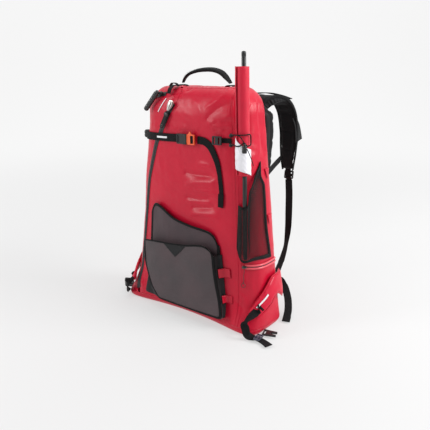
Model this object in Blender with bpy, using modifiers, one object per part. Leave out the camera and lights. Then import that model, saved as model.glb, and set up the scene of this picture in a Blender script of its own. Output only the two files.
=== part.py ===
"""Free-standing waterproof dry backpack: a welded six-panel bag with zips, front and side
pockets, a compression strap, a padded harness with hip wings, and a rolled flag on a pole.

Metres, +Z up.  The bag's front faces -Y, the harness is on +Y, and the origin is the
centre of the flat base, on the ground.  Run it in Blender 4.5."""

import math

import bmesh
import bpy
import numpy as np
from mathutils import Matrix, Vector

# ---------------------------------------------------------------- driving dimensions
HEIGHT = 0.740
SECTION_POWER = 3.6          # roundness of the bag's plan section
FOOT_POWER = 6.5             # and at the ground, where the corners are squarer
FOOT_CORNER = 0.43           # how far the front corners spread at the ground
FOOT_RISE = 0.12             # height where both have faded out
TOP_ROUND = 0.085
BASE_ROUND = 0.020
WIDTH_LEVELS = (0.0, 0.12, 0.25, 0.38, 0.52, 0.64, 0.74)
HALF_WIDTHS = (0.284, 0.266, 0.249, 0.235, 0.218, 0.203, 0.201)
DEPTH_LEVELS = (0.0, 0.37, 0.74)
FRONT_DEPTHS = (0.104, 0.088, 0.085)
BACK_DEPTH = 0.085
PANEL = 0.003                # wall thickness of the welded panels
SEAM = 0.0006                # half of the gap that each welded seam keeps
WEB = 0.002                  # webbing thickness
WEB_WIDTH = 0.025
GAP = 0.0005                 # gap between pieces that touch
LAY = 0.0016                 # how far a strip that lies on the bag stands off its surface

WALL_BOTTOM = 0.0215
WALL_TOP = 0.6990

STRAP_Z = 0.585              # height of the compression strap
POCKET_ZIP_Z = 0.2095
POLE_RADIUS = 0.0065
POLE_TOP = Vector((0.2060, -0.088, 0.838))
POLE_FOOT = Vector((0.2229, -0.088, 0.238))
ROLL_RADIUS = 0.0205
ROLL_SHIFT = -0.005          # the flag is wound a little off the pole's axis
ROLL_Z = (0.496, 0.798)

# ---------------------------------------------------------------- clean scene
for old in list(bpy.data.objects):
    bpy.data.objects.remove(old, do_unlink=True)

BAG = bpy.data.collections.new("dry_bag")
CUTTERS = bpy.data.collections.new("dry_bag_cutters")
bpy.context.scene.collection.children.link(BAG)
bpy.context.scene.collection.children.link(CUTTERS)


def finish(name, colour, roughness, metallic=0.0):
    made = bpy.data.materials.new(name)
    made.use_nodes = True
    shader = made.node_tree.nodes["Principled BSDF"]
    shader.inputs["Base Color"].default_value = (*colour, 1.0)
    shader.inputs["Roughness"].default_value = roughness
    shader.inputs["Metallic"].default_value = metallic
    return made


RED = finish("red_coated_fabric", (0.46, 0.017, 0.033), 0.42)
BLACK_WEB = finish("black_webbing", (0.012, 0.012, 0.013), 0.85)
BLACK_PLASTIC = finish("black_plastic", (0.012, 0.012, 0.012), 0.45)
ORANGE = finish("orange_plastic", (0.83, 0.13, 0.05), 0.4)
GREY = finish("grey_ripstop", (0.075, 0.062, 0.066), 0.7)
MESH = finish("black_mesh", (0.05, 0.02, 0.022), 0.8)
FOAM = finish("black_padding", (0.01, 0.01, 0.011), 0.9)
TAPE = finish("zip_tape", (0.02, 0.02, 0.02), 0.5)
METAL = finish("zip_metal", (0.62, 0.61, 0.58), 0.3, 1.0)
POLE_GREY = finish("pole_plastic", (0.05, 0.055, 0.06), 0.4)
FLAG = finish("flag_cloth", (0.6, 0.03, 0.05), 0.75)
CORD = finish("bungee", (0.012, 0.012, 0.012), 0.8)
BLUE_GREY = finish("triglide_plastic", (0.06, 0.07, 0.1), 0.4)


# ---------------------------------------------------------------- the bag's surface
def smooth_value(x, xs, ys):
    """A monotone cubic through (xs, ys)."""
    if x <= xs[0]:
        return ys[0]
    if x >= xs[-1]:
        return ys[-1]
    d = [(ys[i + 1] - ys[i]) / (xs[i + 1] - xs[i]) for i in range(len(xs) - 1)]
    m = [d[0]]
    for i in range(1, len(d)):
        m.append(0.0 if d[i - 1] * d[i] <= 0 else 2 * d[i - 1] * d[i] / (d[i - 1] + d[i]))
    m.append(d[-1])
    i = max(k for k in range(len(xs) - 1) if xs[k] <= x)
    h = xs[i + 1] - xs[i]
    t = (x - xs[i]) / h
    return (
        ys[i] * (1 + 2 * t) * (1 - t) ** 2
        + m[i] * h * t * (1 - t) ** 2
        + ys[i + 1] * t * t * (3 - 2 * t)
        + m[i + 1] * h * t * t * (t - 1)
    )


def half_sizes(z):
    """Half width, depth in front and depth behind of the bag's section at height z."""
    a = smooth_value(z, WIDTH_LEVELS, HALF_WIDTHS)
    f = smooth_value(z, DEPTH_LEVELS, FRONT_DEPTHS)
    b = BACK_DEPTH
    if z > HEIGHT - TOP_ROUND:
        q = min(1.0, (z - (HEIGHT - TOP_ROUND)) / TOP_ROUND)
        s = 1 - math.sqrt(max(0.0, 1 - q * q))
        a -= TOP_ROUND * 0.75 * s
        f -= TOP_ROUND * 0.70 * s
        b -= TOP_ROUND * 0.35 * s
    if z < BASE_ROUND:
        q = 1 - max(0.0, z) / BASE_ROUND
        s = 1 - math.sqrt(max(0.0, 1 - q * q))
        a -= BASE_ROUND * s
        f -= BASE_ROUND * s
        b -= BASE_ROUND * s
    return a, f, b


def half_turn():
    """Angles from the front centre to the back centre, dense along the flats and the corner."""
    k = np.linspace(0, 0.83, 60)
    front = -np.arccos(k ** (SECTION_POWER / 2))
    side = -np.arcsin(np.linspace(0.83, 0, 40) ** (SECTION_POWER / 2))
    quarter = np.concatenate([front, side[1:]])
    return np.concatenate([quarter, -quarter[::-1][1:]])


TURN = half_turn()
SECTIONS = {}


def section(z):
    key = round(z, 6)
    if key not in SECTIONS:
        a, f, b = half_sizes(z)
        near = max(0.0, 1 - z / FOOT_RISE) ** 2
        power = np.where(TURN < 0, 2 / (SECTION_POWER + (FOOT_POWER - SECTION_POWER) * near), 2 / SECTION_POWER)
        x = a * np.cos(TURN).clip(0) ** power
        front = f * (1 + FOOT_CORNER * near * (x / a) ** 2)
        y = np.sign(TURN) * np.where(TURN < 0, front, b) * np.abs(np.sin(TURN)) ** power
        s = np.concatenate([[0], np.cumsum(np.hypot(np.diff(x), np.diff(y)))])
        SECTIONS[key] = (s, x, y)
    return SECTIONS[key]


def girth(z):
    return float(section(z)[0][-1])


def on_skin(s, z):
    """The point at distance s along the girth, right of the front centre line, at height z."""
    z = min(max(z, 0.0), HEIGHT)
    l, x, y = section(z)
    whole = 2 * l[-1]
    s = (s + whole / 2) % whole - whole / 2
    return np.array([math.copysign(np.interp(abs(s), l, x), s), np.interp(abs(s), l, y), z])


def skin_normal(s, z):
    e = 0.004
    ds = on_skin(s + e, z) - on_skin(s - e, z)
    dz = on_skin(s, z + e) - on_skin(s, z - e)
    n = np.cross(ds, dz)
    return n / np.linalg.norm(n)


def skin(s, z, off=0.0):
    return on_skin(s, z) + off * skin_normal(s, z) if off else on_skin(s, z)


def back_y(x, z):
    """Depth of the bag's back surface at x."""
    l, sx, sy = section(z)
    half = len(sx) // 2
    return float(np.interp(-abs(x), -sx[half:], sy[half:]))


def back_edge(z):
    """Girth distance of the seam between a side and the back."""
    return girth(z) - 0.70 * half_sizes(z)[0]


ZIP_LEVELS = (0.0, 0.027, 0.065, 0.124, 0.220, 0.265, 0.428, 0.471, 0.515, 0.567, 0.587, 0.614, 0.650, 0.675, 0.70)
ZIP_GIRTH = (-0.205, -0.218, -0.233, -0.227, -0.214, -0.208, -0.183, -0.170, -0.154, -0.134, -0.121, -0.106, -0.084, -0.068, -0.053)
RIGHT_LEVELS = (0.0, 0.197, 0.291, 0.415, 0.564, 0.70)
RIGHT_GIRTH = (0.208, 0.196, 0.187, 0.179, 0.169, 0.152)


def zip_line(z):
    """Girth distance of the main zip, which parts the front from the left side."""
    return smooth_value(z, ZIP_LEVELS, ZIP_GIRTH)


def right_edge(z):
    return smooth_value(z, RIGHT_LEVELS, RIGHT_GIRTH)


# ---------------------------------------------------------------- modelling helpers
def add(name, mesh, material, parent=None):
    obj = bpy.data.objects.new(name, mesh)
    BAG.objects.link(obj)
    obj.data.materials.append(material)
    if parent is not None:
        obj.parent = parent
        obj.matrix_parent_inverse = parent.matrix_world.inverted()
    return obj


def hinge_point(name, place):
    """An empty on a joint's axis, which the moving piece hangs from."""
    made = bpy.data.objects.new(name, None)
    BAG.objects.link(made)
    made.empty_display_size = 0.02
    made.location = place
    bpy.context.view_layer.update()
    return made


def smooth(mesh, angle=40):
    mesh.shade_smooth()
    mesh.set_sharp_from_angle(angle=math.radians(angle))


def grid(name, rows, ring=False, centre=None):
    """An open surface through rows of points; a ring closes each row on itself, and a
    centre point closes the last one."""
    mesh = bpy.data.meshes.new(name)
    bm = bmesh.new()
    made = [[bm.verts.new(Vector(p)) for p in row] for row in rows]
    for low, high in zip(made, made[1:]):
        count = len(low)
        for j in range(count if ring else count - 1):
            k = (j + 1) % count
            corners = []
            for v in (low[j], low[k], high[k], high[j]):
                if v not in corners:
                    corners.append(v)
            bm.faces.new(corners)
    if centre is not None:
        middle = bm.verts.new(Vector(centre))
        top = made[-1]
        for j in range(len(top)):
            bm.faces.new((top[j], top[(j + 1) % len(top)], middle))
    bm.to_mesh(mesh)
    bm.free()
    smooth(mesh)
    return mesh


def thicken(obj, thickness, offset=1.0):
    shell = obj.modifiers.new("thickness", "SOLIDIFY")
    shell.thickness = thickness
    shell.offset = offset
    shell.use_even_offset = False
    shell.use_rim = True
    return obj


def sheet(name, rows, thickness, material, offset=1.0, ring=False, centre=None, parent=None):
    return thicken(add(name, grid(name, rows, ring, centre), material, parent), thickness, offset)


def through(points, count):
    """count points spaced evenly along a smooth curve through the given ones."""
    p = [np.array(q, float) for q in points]
    p = [2 * p[0] - p[1]] + p + [2 * p[-1] - p[-2]]
    fine = []
    for i in range(1, len(p) - 2):
        for t in np.linspace(0, 1, 24, endpoint=False):
            a, b, c, d = p[i - 1], p[i], p[i + 1], p[i + 2]
            fine.append(
                0.5 * (2 * b + (c - a) * t + (2 * a - 5 * b + 4 * c - d) * t * t + (3 * b - a - 3 * c + d) * t ** 3)
            )
    fine.append(p[-2])
    fine = np.array(fine)
    s = np.concatenate([[0], np.cumsum(np.linalg.norm(np.diff(fine, axis=0), axis=1))])
    at = np.linspace(0, s[-1], count)
    return np.stack([np.interp(at, s, fine[:, k]) for k in range(fine.shape[1])], 1)


def unit(v):
    v = np.array(v, float)
    return v / np.linalg.norm(v)


def ribbon(name, points, across, width, thickness, material, offset=1.0, parent=None):
    """Webbing: a strip along points; across is one direction, or one for each point."""
    rows = []
    for i, p in enumerate(points):
        a = unit(across[i] if np.ndim(across) == 2 else across)
        w = width[i] if np.ndim(width) else width
        rows.append([p - a * w / 2, p + a * w / 2])
    return sheet(name, rows, thickness, material, offset, parent=parent)


def skin_strip(name, path, width, thickness, material, off=LAY, count=None, parent=None):
    """A strip that lies on the bag along a path of (girth, height)."""
    path = through([(s, z, 0.0) for s, z in path], count or len(path))[:, :2]
    points = [skin(s, z, off) for s, z in path]
    rows = []
    for i, (s, z) in enumerate(path):
        along = points[min(i + 1, len(points) - 1)] - points[max(i - 1, 0)]
        n = skin_normal(s, z)
        a = unit(np.cross(along, n))
        rows.append([points[i] - a * width / 2, points[i], points[i] + a * width / 2])
    # the strip's edges follow the bag's curve
    for row, (s, z) in zip(rows, path):
        for k in (0, 2):
            p = row[k]
            l, x, y = section(min(max(p[2], 0), HEIGHT))
            gap = np.hypot(x - abs(p[0]), y - p[1])
            j = int(gap.argmin())
            base = skin(math.copysign(l[j], p[0]), p[2], off)
            n = skin_normal(math.copysign(l[j], p[0]), p[2])
            row[k] = p + n * float(np.dot(base - p, n))
    return sheet(name, rows, thickness, material, 1.0, parent=parent)


def tube(name, points, radius, material, parent=None, sides=2):
    curve = bpy.data.curves.new(name, "CURVE")
    curve.dimensions = "3D"
    spline = curve.splines.new("POLY")
    spline.points.add(len(points) - 1)
    for point, p in zip(spline.points, points):
        point.co = (*p, 1.0)
    curve.bevel_depth = radius
    curve.bevel_resolution = sides
    curve.use_fill_caps = True
    curve.render_resolution_u = 0
    obj = bpy.data.objects.new(name, curve)
    BAG.objects.link(obj)
    curve.materials.append(material)
    if parent is not None:
        obj.parent = parent
        obj.matrix_parent_inverse = parent.matrix_world.inverted()
    return obj


def place_axes(along, normal, centre):
    """A matrix with local X along, local Z out, at centre."""
    x = Vector(along).normalized()
    z = Vector(normal)
    z = (z - x * z.dot(x)).normalized()
    y = z.cross(x)
    m = Matrix((x, y, z)).transposed().to_4x4()
    m.translation = Vector(centre)
    return m


def rounded(length, width, radius, steps=2, shift=(0.0, 0.0)):
    """A rectangle with round corners."""
    points = []
    for cx, cy, start in ((1, 1, 0), (-1, 1, 90), (-1, -1, 180), (1, -1, 270)):
        for k in range(steps + 1):
            angle = math.radians(start + 90 * k / steps)
            points.append(
                (
                    cx * (length / 2 - radius) + radius * math.cos(angle) + shift[0],
                    cy * (width / 2 - radius) + radius * math.sin(angle) + shift[1],
                )
            )
    return points


def plate(name, outlines, thickness, matrix, material, parent=None):
    """A flat plate from closed outlines, the first outside and the others holes."""
    curve = bpy.data.curves.new(name, "CURVE")
    curve.dimensions = "2D"
    curve.fill_mode = "BOTH"
    curve.extrude = thickness / 2
    curve.render_resolution_u = 0
    for outline in outlines:
        spline = curve.splines.new("POLY")
        spline.points.add(len(outline) - 1)
        for point, (x, y) in zip(spline.points, outline):
            point.co = (x, y, 0, 1)
        spline.use_cyclic_u = True
    curve.materials.append(material)
    obj = bpy.data.objects.new(name, curve)
    BAG.objects.link(obj)
    obj.matrix_world = matrix
    if parent is not None:
        obj.parent = parent
        obj.matrix_parent_inverse = parent.matrix_world.inverted()
    return obj


def block(name, size, matrix, material, bevel=0.001, parent=None, collection=None):
    mesh = bpy.data.meshes.new(name)
    bm = bmesh.new()
    bmesh.ops.create_cube(bm, size=1.0)
    bmesh.ops.scale(bm, vec=size, verts=bm.verts)
    bm.to_mesh(mesh)
    bm.free()
    obj = bpy.data.objects.new(name, mesh)
    (collection or BAG).objects.link(obj)
    if material is not None:
        mesh.materials.append(material)
    obj.matrix_world = matrix
    if bevel:
        edge = obj.modifiers.new("edges", "BEVEL")
        edge.width = bevel
        edge.segments = 1
    if parent is not None:
        obj.parent = parent
        obj.matrix_parent_inverse = parent.matrix_world.inverted()
    return obj


def turned(name, profile, matrix, material, steps=14, parent=None, collection=None):
    """A turned piece: profile points (radius, height) from the top down the outside."""
    mesh = bpy.data.meshes.new(name)
    bm = bmesh.new()
    verts = [bm.verts.new((r, 0, h)) for r, h in profile]
    for a, b in zip(verts, verts[1:]):
        bm.edges.new((a, b))
    bm.to_mesh(mesh)
    bm.free()
    obj = bpy.data.objects.new(name, mesh)
    (collection or BAG).objects.link(obj)
    if material is not None:
        mesh.materials.append(material)
    spin = obj.modifiers.new("turn", "SCREW")
    spin.axis = "Z"
    spin.steps = spin.render_steps = steps
    spin.use_merge_vertices = True
    spin.merge_threshold = 0.00002
    spin.use_normal_calculate = False
    spin.use_smooth_shade = True
    obj.matrix_world = matrix
    if parent is not None:
        obj.parent = parent
        obj.matrix_parent_inverse = parent.matrix_world.inverted()
    return obj


def cut(obj, cutter):
    cutter.hide_render = True
    cutter.display_type = "WIRE"
    knife = obj.modifiers.new("cut", "BOOLEAN")
    knife.operation = "DIFFERENCE"
    knife.solver = "EXACT"
    knife.object = cutter
    return obj


def wall(name, left, right, low, high, columns, rows, material=RED):
    """One welded panel of the bag between two girth lines."""
    made = []
    for z in np.linspace(low, high, rows):
        made.append([skin(s, z) for s in np.linspace(left(z), right(z), columns)])
    return sheet(name, made, PANEL, material, -1.0)


# ---------------------------------------------------------------- welded body
ZIP_SLOT = 0.004
wall("front_panel", lambda z: zip_line(z) + ZIP_SLOT, lambda z: right_edge(z) - SEAM, WALL_BOTTOM, WALL_TOP, 15, 14)
wall("left_side_panel", lambda z: -back_edge(z) + SEAM, lambda z: zip_line(z) - ZIP_SLOT, WALL_BOTTOM, WALL_TOP, 12, 14)
wall("right_side_panel", lambda z: right_edge(z) + SEAM, lambda z: back_edge(z) - SEAM, WALL_BOTTOM, WALL_TOP, 9, 14)
wall("back_panel", lambda z: back_edge(z) + SEAM, lambda z: 2 * girth(z) - back_edge(z) - SEAM, WALL_BOTTOM, WALL_TOP, 11, 12)


def ring_at(z, count=36, scale=1.0):
    turn = np.linspace(0, 1, count, endpoint=False)
    whole = 2 * girth(z)
    points = [skin(whole * t - whole / 2, z) for t in turn]
    middle = np.mean(points, axis=0)
    return [middle + (p - middle) * scale for p in points]


def cap_panel(name, levels, flat_z, shrink, down):
    rows = [ring_at(z) for z in levels]
    rows += [ring_at(flat_z, scale=k) for k in shrink]
    centre = np.mean(rows[-1], axis=0)
    if down:
        rows = [row[::-1] for row in rows]
    return sheet(name, rows, PANEL, RED, -1.0, ring=True, centre=centre)


TOP_LEVELS = [HEIGHT - TOP_ROUND * (1 - math.sin(t)) for t in np.linspace(math.asin(0.548), math.pi / 2, 5)]
cap_panel("top_panel", TOP_LEVELS, HEIGHT, (0.66, 0.3), False)
BASE_LEVELS = [BASE_ROUND * (1 - math.sin(t)) for t in np.linspace(0, math.pi / 2, 4)]
cap_panel("base_panel", BASE_LEVELS, 0.0, (0.66, 0.3), True)

# ---------------------------------------------------------------- main zip
ZIP_TAPE = 0.018
skin_strip(
    "main_zip_tape",
    [(zip_line(z), z) for z in np.linspace(0.692, 0.034, 26)],
    ZIP_TAPE, 0.0016, TAPE, off=0.0023, count=26,
)

ZIP_DIR = unit([-0.036, -0.0035, -0.066])
ZIP_OUT = unit([0.0, -1.0, 0.04])
SLIDER_AT = np.array([-0.0645, -0.0935, 0.6835])
slider_rest = hinge_point("main_zip_slider_rest", SLIDER_AT)
block("main_zip_slider", (0.034, 0.016, 0.007), place_axes(ZIP_DIR, ZIP_OUT, SLIDER_AT), METAL, 0.0018, slider_rest)
PULL_AT = SLIDER_AT + ZIP_DIR * 0.0192
pull_hinge = hinge_point("main_zip_pull_hinge", PULL_AT)
PULL_DIR = unit([-0.028, -0.0035, -0.056])
PULL_LENGTH = 0.060
plate(
    "main_zip_pull",
    [
        rounded(PULL_LENGTH, 0.014, 0.0055, 3, (PULL_LENGTH / 2 + 0.0005, 0)),
        rounded(0.008, 0.004, 0.0018, 2, (PULL_LENGTH - 0.008, 0))[::-1],
    ],
    0.0028,
    place_axes(PULL_DIR, ZIP_OUT, PULL_AT),
    BLACK_WEB,
    pull_hinge,
)

# ---------------------------------------------------------------- second zip, down the left side
LEFT_ZIP = [(-0.086, 0.7185), (-0.118, 0.7145), (-0.150, 0.7075), (-0.190, 0.689), (-0.225, 0.655), (-0.255, 0.60), (-0.275, 0.50), (-0.287, 0.40)]
skin_strip("left_zip_tape", LEFT_ZIP, 0.016, 0.0016, TAPE, count=16)
LEFT_START = through([(s, z, 0.0) for s, z in LEFT_ZIP], 24)[2]
LN = skin_normal(LEFT_START[0], LEFT_START[1])
LD = unit(skin(-0.146, 0.7083) - skin(-0.118, 0.7145))
LEFT_SLIDER_AT = skin(LEFT_START[0], LEFT_START[1]) + LN * 0.0085
left_rest = hinge_point("left_zip_slider_rest", LEFT_SLIDER_AT)
block("left_zip_slider", (0.022, 0.012, 0.006), place_axes(LD, LN, LEFT_SLIDER_AT), METAL, 0.0015, left_rest)
PULL_R = 0.0082
LEFT_PULL_AT = LEFT_SLIDER_AT + LN * 0.0045 + np.array([0.0, -0.0095, 0.0035])
LEFT_PULL_END = np.array([-0.1790, -0.0860, 0.6640])
LEFT_PULL_DIR = unit(LEFT_PULL_END - LEFT_PULL_AT)
LONG = float(np.linalg.norm(LEFT_PULL_END - LEFT_PULL_AT))
left_hinge = hinge_point("left_zip_pull_hinge", LEFT_PULL_AT)
capsule = [(0.0, 0.0)]
capsule += [(PULL_R * math.sin(t), -PULL_R + PULL_R * math.cos(t)) for t in np.linspace(0.5, math.pi / 2, 3)]
capsule += [(PULL_R, -LONG + PULL_R)]
capsule += [(PULL_R * math.cos(t), -LONG + PULL_R - PULL_R * math.sin(t)) for t in np.linspace(0.5, 1.1, 2)]
capsule += [(0.0, -LONG)]
turned(
    "left_zip_pull", capsule,
    place_axes(np.cross([0.0, 1.0, 0.0], -LEFT_PULL_DIR), -LEFT_PULL_DIR, LEFT_PULL_AT),
    BLACK_PLASTIC, 10, left_hinge,
)

# ---------------------------------------------------------------- zip of the low side pocket
skin_strip(
    "pocket_zip_tape",
    [(s, POCKET_ZIP_Z) for s in np.linspace(0.203, 0.345, 14)],
    0.018, 0.0016, RED, count=14,
)
PZ = 0.2155
POCKET_OUT = skin_normal(PZ, POCKET_ZIP_Z)
POCKET_SLIDER_AT = skin(PZ, POCKET_ZIP_Z) + POCKET_OUT * 0.0082
POCKET_DIR = unit(skin(PZ + 0.006, POCKET_ZIP_Z) - skin(PZ - 0.006, POCKET_ZIP_Z))
POCKET_HANG = unit(skin(PZ, 0.150) - skin(PZ, POCKET_ZIP_Z))
pocket_rest = hinge_point("pocket_zip_slider_rest", POCKET_SLIDER_AT)
block("pocket_zip_slider", (0.016, 0.011, 0.006), place_axes(POCKET_DIR, POCKET_OUT, POCKET_SLIDER_AT), METAL, 0.0015, pocket_rest)
POCKET_PULL_AT = POCKET_SLIDER_AT + POCKET_HANG * 0.0072 + POCKET_OUT * 0.0010
pocket_hinge = hinge_point("pocket_zip_pull_hinge", POCKET_PULL_AT)
plate(
    "pocket_zip_pull",
    [
        [(0.0, -0.0025), (0.040, -0.002), (0.044, -0.006), (0.051, -0.0075), (0.058, -0.006), (0.061, 0.0),
         (0.058, 0.006), (0.051, 0.0075), (0.044, 0.006), (0.040, 0.002), (0.0, 0.0025)],
        [(0.0555, 0.0), (0.0545, 0.0035), (0.051, 0.0045), (0.0475, 0.0035), (0.0465, 0.0), (0.0475, -0.0035), (0.051, -0.0045), (0.0545, -0.0035)],
    ],
    0.0024,
    place_axes(POCKET_HANG, POCKET_OUT, POCKET_PULL_AT),
    BLACK_WEB,
    pocket_hinge,
)

# ---------------------------------------------------------------- upper front pocket (mesh)
MESH_TOP_S = (-0.166, -0.150, -0.135, -0.108, -0.047, 0.010, 0.092, 0.115, 0.131)
MESH_TOP_Z = (0.330, 0.357, 0.361, 0.353, 0.326, 0.315, 0.305, 0.292, 0.262)
MESH_FOOT = 0.074


def mesh_left(z):
    return smooth_value(z, (0.0, 0.222, 0.293, 0.347), (-0.176, -0.169, -0.166, -0.164))


def mesh_right(z):
    return smooth_value(z, (0.0, 0.09, 0.186, 0.227, 0.27, 0.36), (0.164, 0.153, 0.139, 0.133, 0.130, 0.130))


def mesh_point(u, v, extra=0.0):
    """The upper pocket's panel: u across from left to right, v up from its foot."""
    s = mesh_left(0.2) * (1 - u) + mesh_right(0.2) * u
    z = MESH_FOOT + (smooth_value(s, MESH_TOP_S, MESH_TOP_Z) - MESH_FOOT) * v
    s = mesh_left(z) * (1 - u) + mesh_right(z) * u
    belly = min(1.0, 3.2 * u, 3.2 * (1 - u)) ** 0.7
    return skin(s, z, 0.0024 + 0.0110 * belly + extra)


sheet(
    "front_mesh_panel",
    [[mesh_point(u, v) for u in np.linspace(0, 1, 15)] for v in np.linspace(0, 1, 8)],
    0.0012, GREY,
)


def edge_strip(name, inner, outer, count, thickness, material, parent=None):
    """A binding between two edge curves, each a function of 0..1."""
    rows = [[inner(t), outer(t)] for t in np.linspace(0, 1, count)]
    return sheet(name, rows, thickness, material, 1.0, parent=parent)


def mesh_border(t, inset):
    """Runs up the left edge, along the top and down the right edge of the upper pocket."""
    k = inset / 0.30
    if t < 0.3:
        return mesh_point(k, t / 0.3 * (1 - k), 0.0021)
    if t < 0.7:
        return mesh_point(k + (t - 0.3) / 0.4 * (1 - 2 * k), 1 - k, 0.0021)
    return mesh_point(1 - k, (1 - (t - 0.7) / 0.3) * (1 - k), 0.0021)


edge_strip("front_mesh_binding", lambda t: mesh_border(t, 0.0), lambda t: mesh_border(t, 0.008), 41, 0.0012, BLACK_WEB)

# ---------------------------------------------------------------- lower front pocket (bellows)
POCKET_TOP_S = (-0.175, -0.166, -0.095, -0.050, 0.020, 0.088, 0.113, 0.124)
POCKET_TOP_Z = (0.219, 0.230, 0.240, 0.243, 0.251, 0.262, 0.253, 0.234)
POCKET_STAND = 0.030


def pocket_left(z):
    return smooth_value(z, (0.03, 0.044, 0.075, 0.12, 0.159, 0.217, 0.26), (-0.098, -0.112, -0.140, -0.160, -0.172, -0.176, -0.174))


def pocket_right(z):
    return smooth_value(z, (0.03, 0.091, 0.147, 0.203, 0.234, 0.26), (0.172, 0.154, 0.139, 0.128, 0.124, 0.116))


def pocket_top(s):
    return smooth_value(s, POCKET_TOP_S, POCKET_TOP_Z)


def pocket_point(u, v, extra=0.0):
    guess = -0.174 * (1 - u) + 0.124 * u
    z = 0.034 + (pocket_top(guess) - 0.034) * v
    s = pocket_left(z) * (1 - u) + pocket_right(z) * u
    edge = min(1.0, 5 * u, 5 * (1 - u), 4 * v + 0.3) ** 0.5
    return skin(s, z, POCKET_STAND - 0.004 + 0.006 * edge + extra)


sheet(
    "front_pocket_panel",
    [[pocket_point(u, v) for u in np.linspace(0, 1, 13)] for v in np.linspace(0, 1, 9)],
    0.0016, GREY,
)


def pocket_border(t, inset, extra):
    """Runs along the lower pocket's panel, from the top left, down, along the foot and up to the top right."""
    k = inset / 0.28
    if t < 0.28:
        return pocket_point(k, 1 - k - (t / 0.28) * (1 - 2 * k), extra)
    if t < 0.72:
        return pocket_point(k + (t - 0.28) / 0.44 * (1 - 2 * k), k, extra)
    return pocket_point(1 - k, k + (t - 0.72) / 0.28 * (1 - 2 * k), extra)


def pocket_ring(inset, extra):
    """The whole edge of the lower pocket; the inset widens into a V at the middle of the mouth."""
    made = [pocket_border(t, inset, extra) for t in np.linspace(0, 1, 37)]
    k = inset / 0.28
    for u in np.linspace(1 - k, k, 21)[1:-1]:
        dip = max(0.0, 1 - abs(u - 0.49) / 0.16) * 0.17 if inset else 0.0
        made.append(pocket_point(u, 1 - k - dip, extra))
    return made


sheet("front_pocket_binding", [pocket_ring(0.0, 0.0022), pocket_ring(0.006, 0.0022)], 0.0012, BLACK_WEB, 1.0, ring=True)


def gusset_root(t):
    """Where the bellows gusset meets the bag, outside the upper pocket's edge."""
    p = 0.0026
    if t < 0.28:
        z = 0.212 + (0.034 - 0.212) * (t / 0.28)
        return skin(min(mesh_left(z), pocket_left(z)) - 0.006 - 0.004, z, p)
    if t < 0.72:
        u = (t - 0.28) / 0.44
        s = (mesh_left(0.034) - 0.010) * (1 - u) + (mesh_right(0.034) + 0.006) * u
        return skin(s, 0.032, p)
    z = 0.034 + (0.236 - 0.034) * ((t - 0.72) / 0.28)
    return skin(mesh_right(z) + 0.006, z, p)


def gusset_rows(count=37):
    rows = []
    for t in np.linspace(0, 1, count):
        root, tip = gusset_root(t), pocket_border(t, 0.0, -0.0022)
        rows.append([root, root * 0.5 + tip * 0.5, tip])
    return rows


sheet("front_pocket_gusset", gusset_rows(), 0.0012, BLACK_WEB, -1.0)


# ---------------------------------------------------------------- side pocket (mesh) round the pole
def pole_at(z):
    k = (z - POLE_FOOT.z) / (POLE_TOP.z - POLE_FOOT.z)
    return POLE_FOOT + (POLE_TOP - POLE_FOOT) * k


def hull(points):
    """Convex outline of flat points, counter-clockwise."""
    pts = sorted(set((round(float(x), 6), round(float(y), 6)) for x, y in points))

    def half(seq):
        out = []
        for p in seq:
            while len(out) > 1 and (out[-1][0] - out[-2][0]) * (p[1] - out[-2][1]) - (out[-1][1] - out[-2][1]) * (p[0] - out[-2][0]) <= 0:
                out.pop()
            out.append(p)
        return out[:-1]

    return half(pts) + half(pts[::-1])


def wrapped(z, off):
    """The pocket's line at height z: from the bag's front corner, tight round the pole, to the side."""
    start, end = 0.188, 0.322
    flat = [skin(s, z, 0.0022)[:2] for s in np.linspace(start, end, 40)]
    fade = 1.0 if z < 0.45 else max(0.0, 1 - (z - 0.45) / 0.08)
    centre = np.array(pole_at(z))[:2]
    near = np.array(flat[12])
    centre = near * (1 - fade) + centre * fade
    reach = (POLE_RADIUS + 0.0030) * fade
    round_it = [centre + reach * np.array([math.cos(t), math.sin(t)]) for t in np.linspace(0, 2 * math.pi, 24, endpoint=False)]
    line = hull(list(flat) + round_it)
    first = min(range(len(line)), key=lambda i: math.dist(line[i], flat[0]))
    line = line[first:] + line[:first]
    last = min(range(len(line)), key=lambda i: math.dist(line[i], flat[-1]))
    line = np.array(line[: last + 1])
    s = np.concatenate([[0], np.cumsum(np.hypot(*np.diff(line, axis=0).T))])
    return s, line


def side_right(z):
    """How far along the pocket's line its back edge is."""
    return smooth_value(z, (0.226, 0.239, 0.344, 0.451, 0.490, 0.531), (0.950, 0.933, 0.800, 0.758, 0.567, 0.508))


def side_point(u, v, extra=0.0):
    """The side pocket: u from its front edge to its back edge, v from its foot to its mouth."""
    foot = smooth_value(u, (0, 0.04, 0.2, 0.55, 1.0), (0.270, 0.256, 0.231, 0.233, 0.227))
    mouth = smooth_value(u, (0, 0.385, 0.405, 0.5, 1.0), (0.400, 0.403, 0.436, 0.462, 0.529))
    z = foot + (mouth - foot) * v
    s, line = wrapped(z, 0.0)
    at = u * side_right(z) * s[-1]
    p = np.array([np.interp(at, s, line[:, 0]), np.interp(at, s, line[:, 1]), z])
    e = 0.004
    q0 = np.array([np.interp(at - e, s, line[:, 0]), np.interp(at - e, s, line[:, 1])])
    q1 = np.array([np.interp(at + e, s, line[:, 0]), np.interp(at + e, s, line[:, 1])])
    d = q1 - q0
    n = np.array([d[1], -d[0], 0.0]) / max(1e-9, np.hypot(*d))
    return p + n * extra


SIDE_COLUMNS = (0, 0.08, 0.16, 0.22, 0.25, 0.28, 0.31, 0.34, 0.37, 0.40, 0.46, 0.55, 0.65, 0.75, 0.86, 1.0)
sheet("side_mesh_panel", [[side_point(u, v) for u in SIDE_COLUMNS] for v in np.linspace(0, 1, 8)], 0.0012, MESH)


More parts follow.
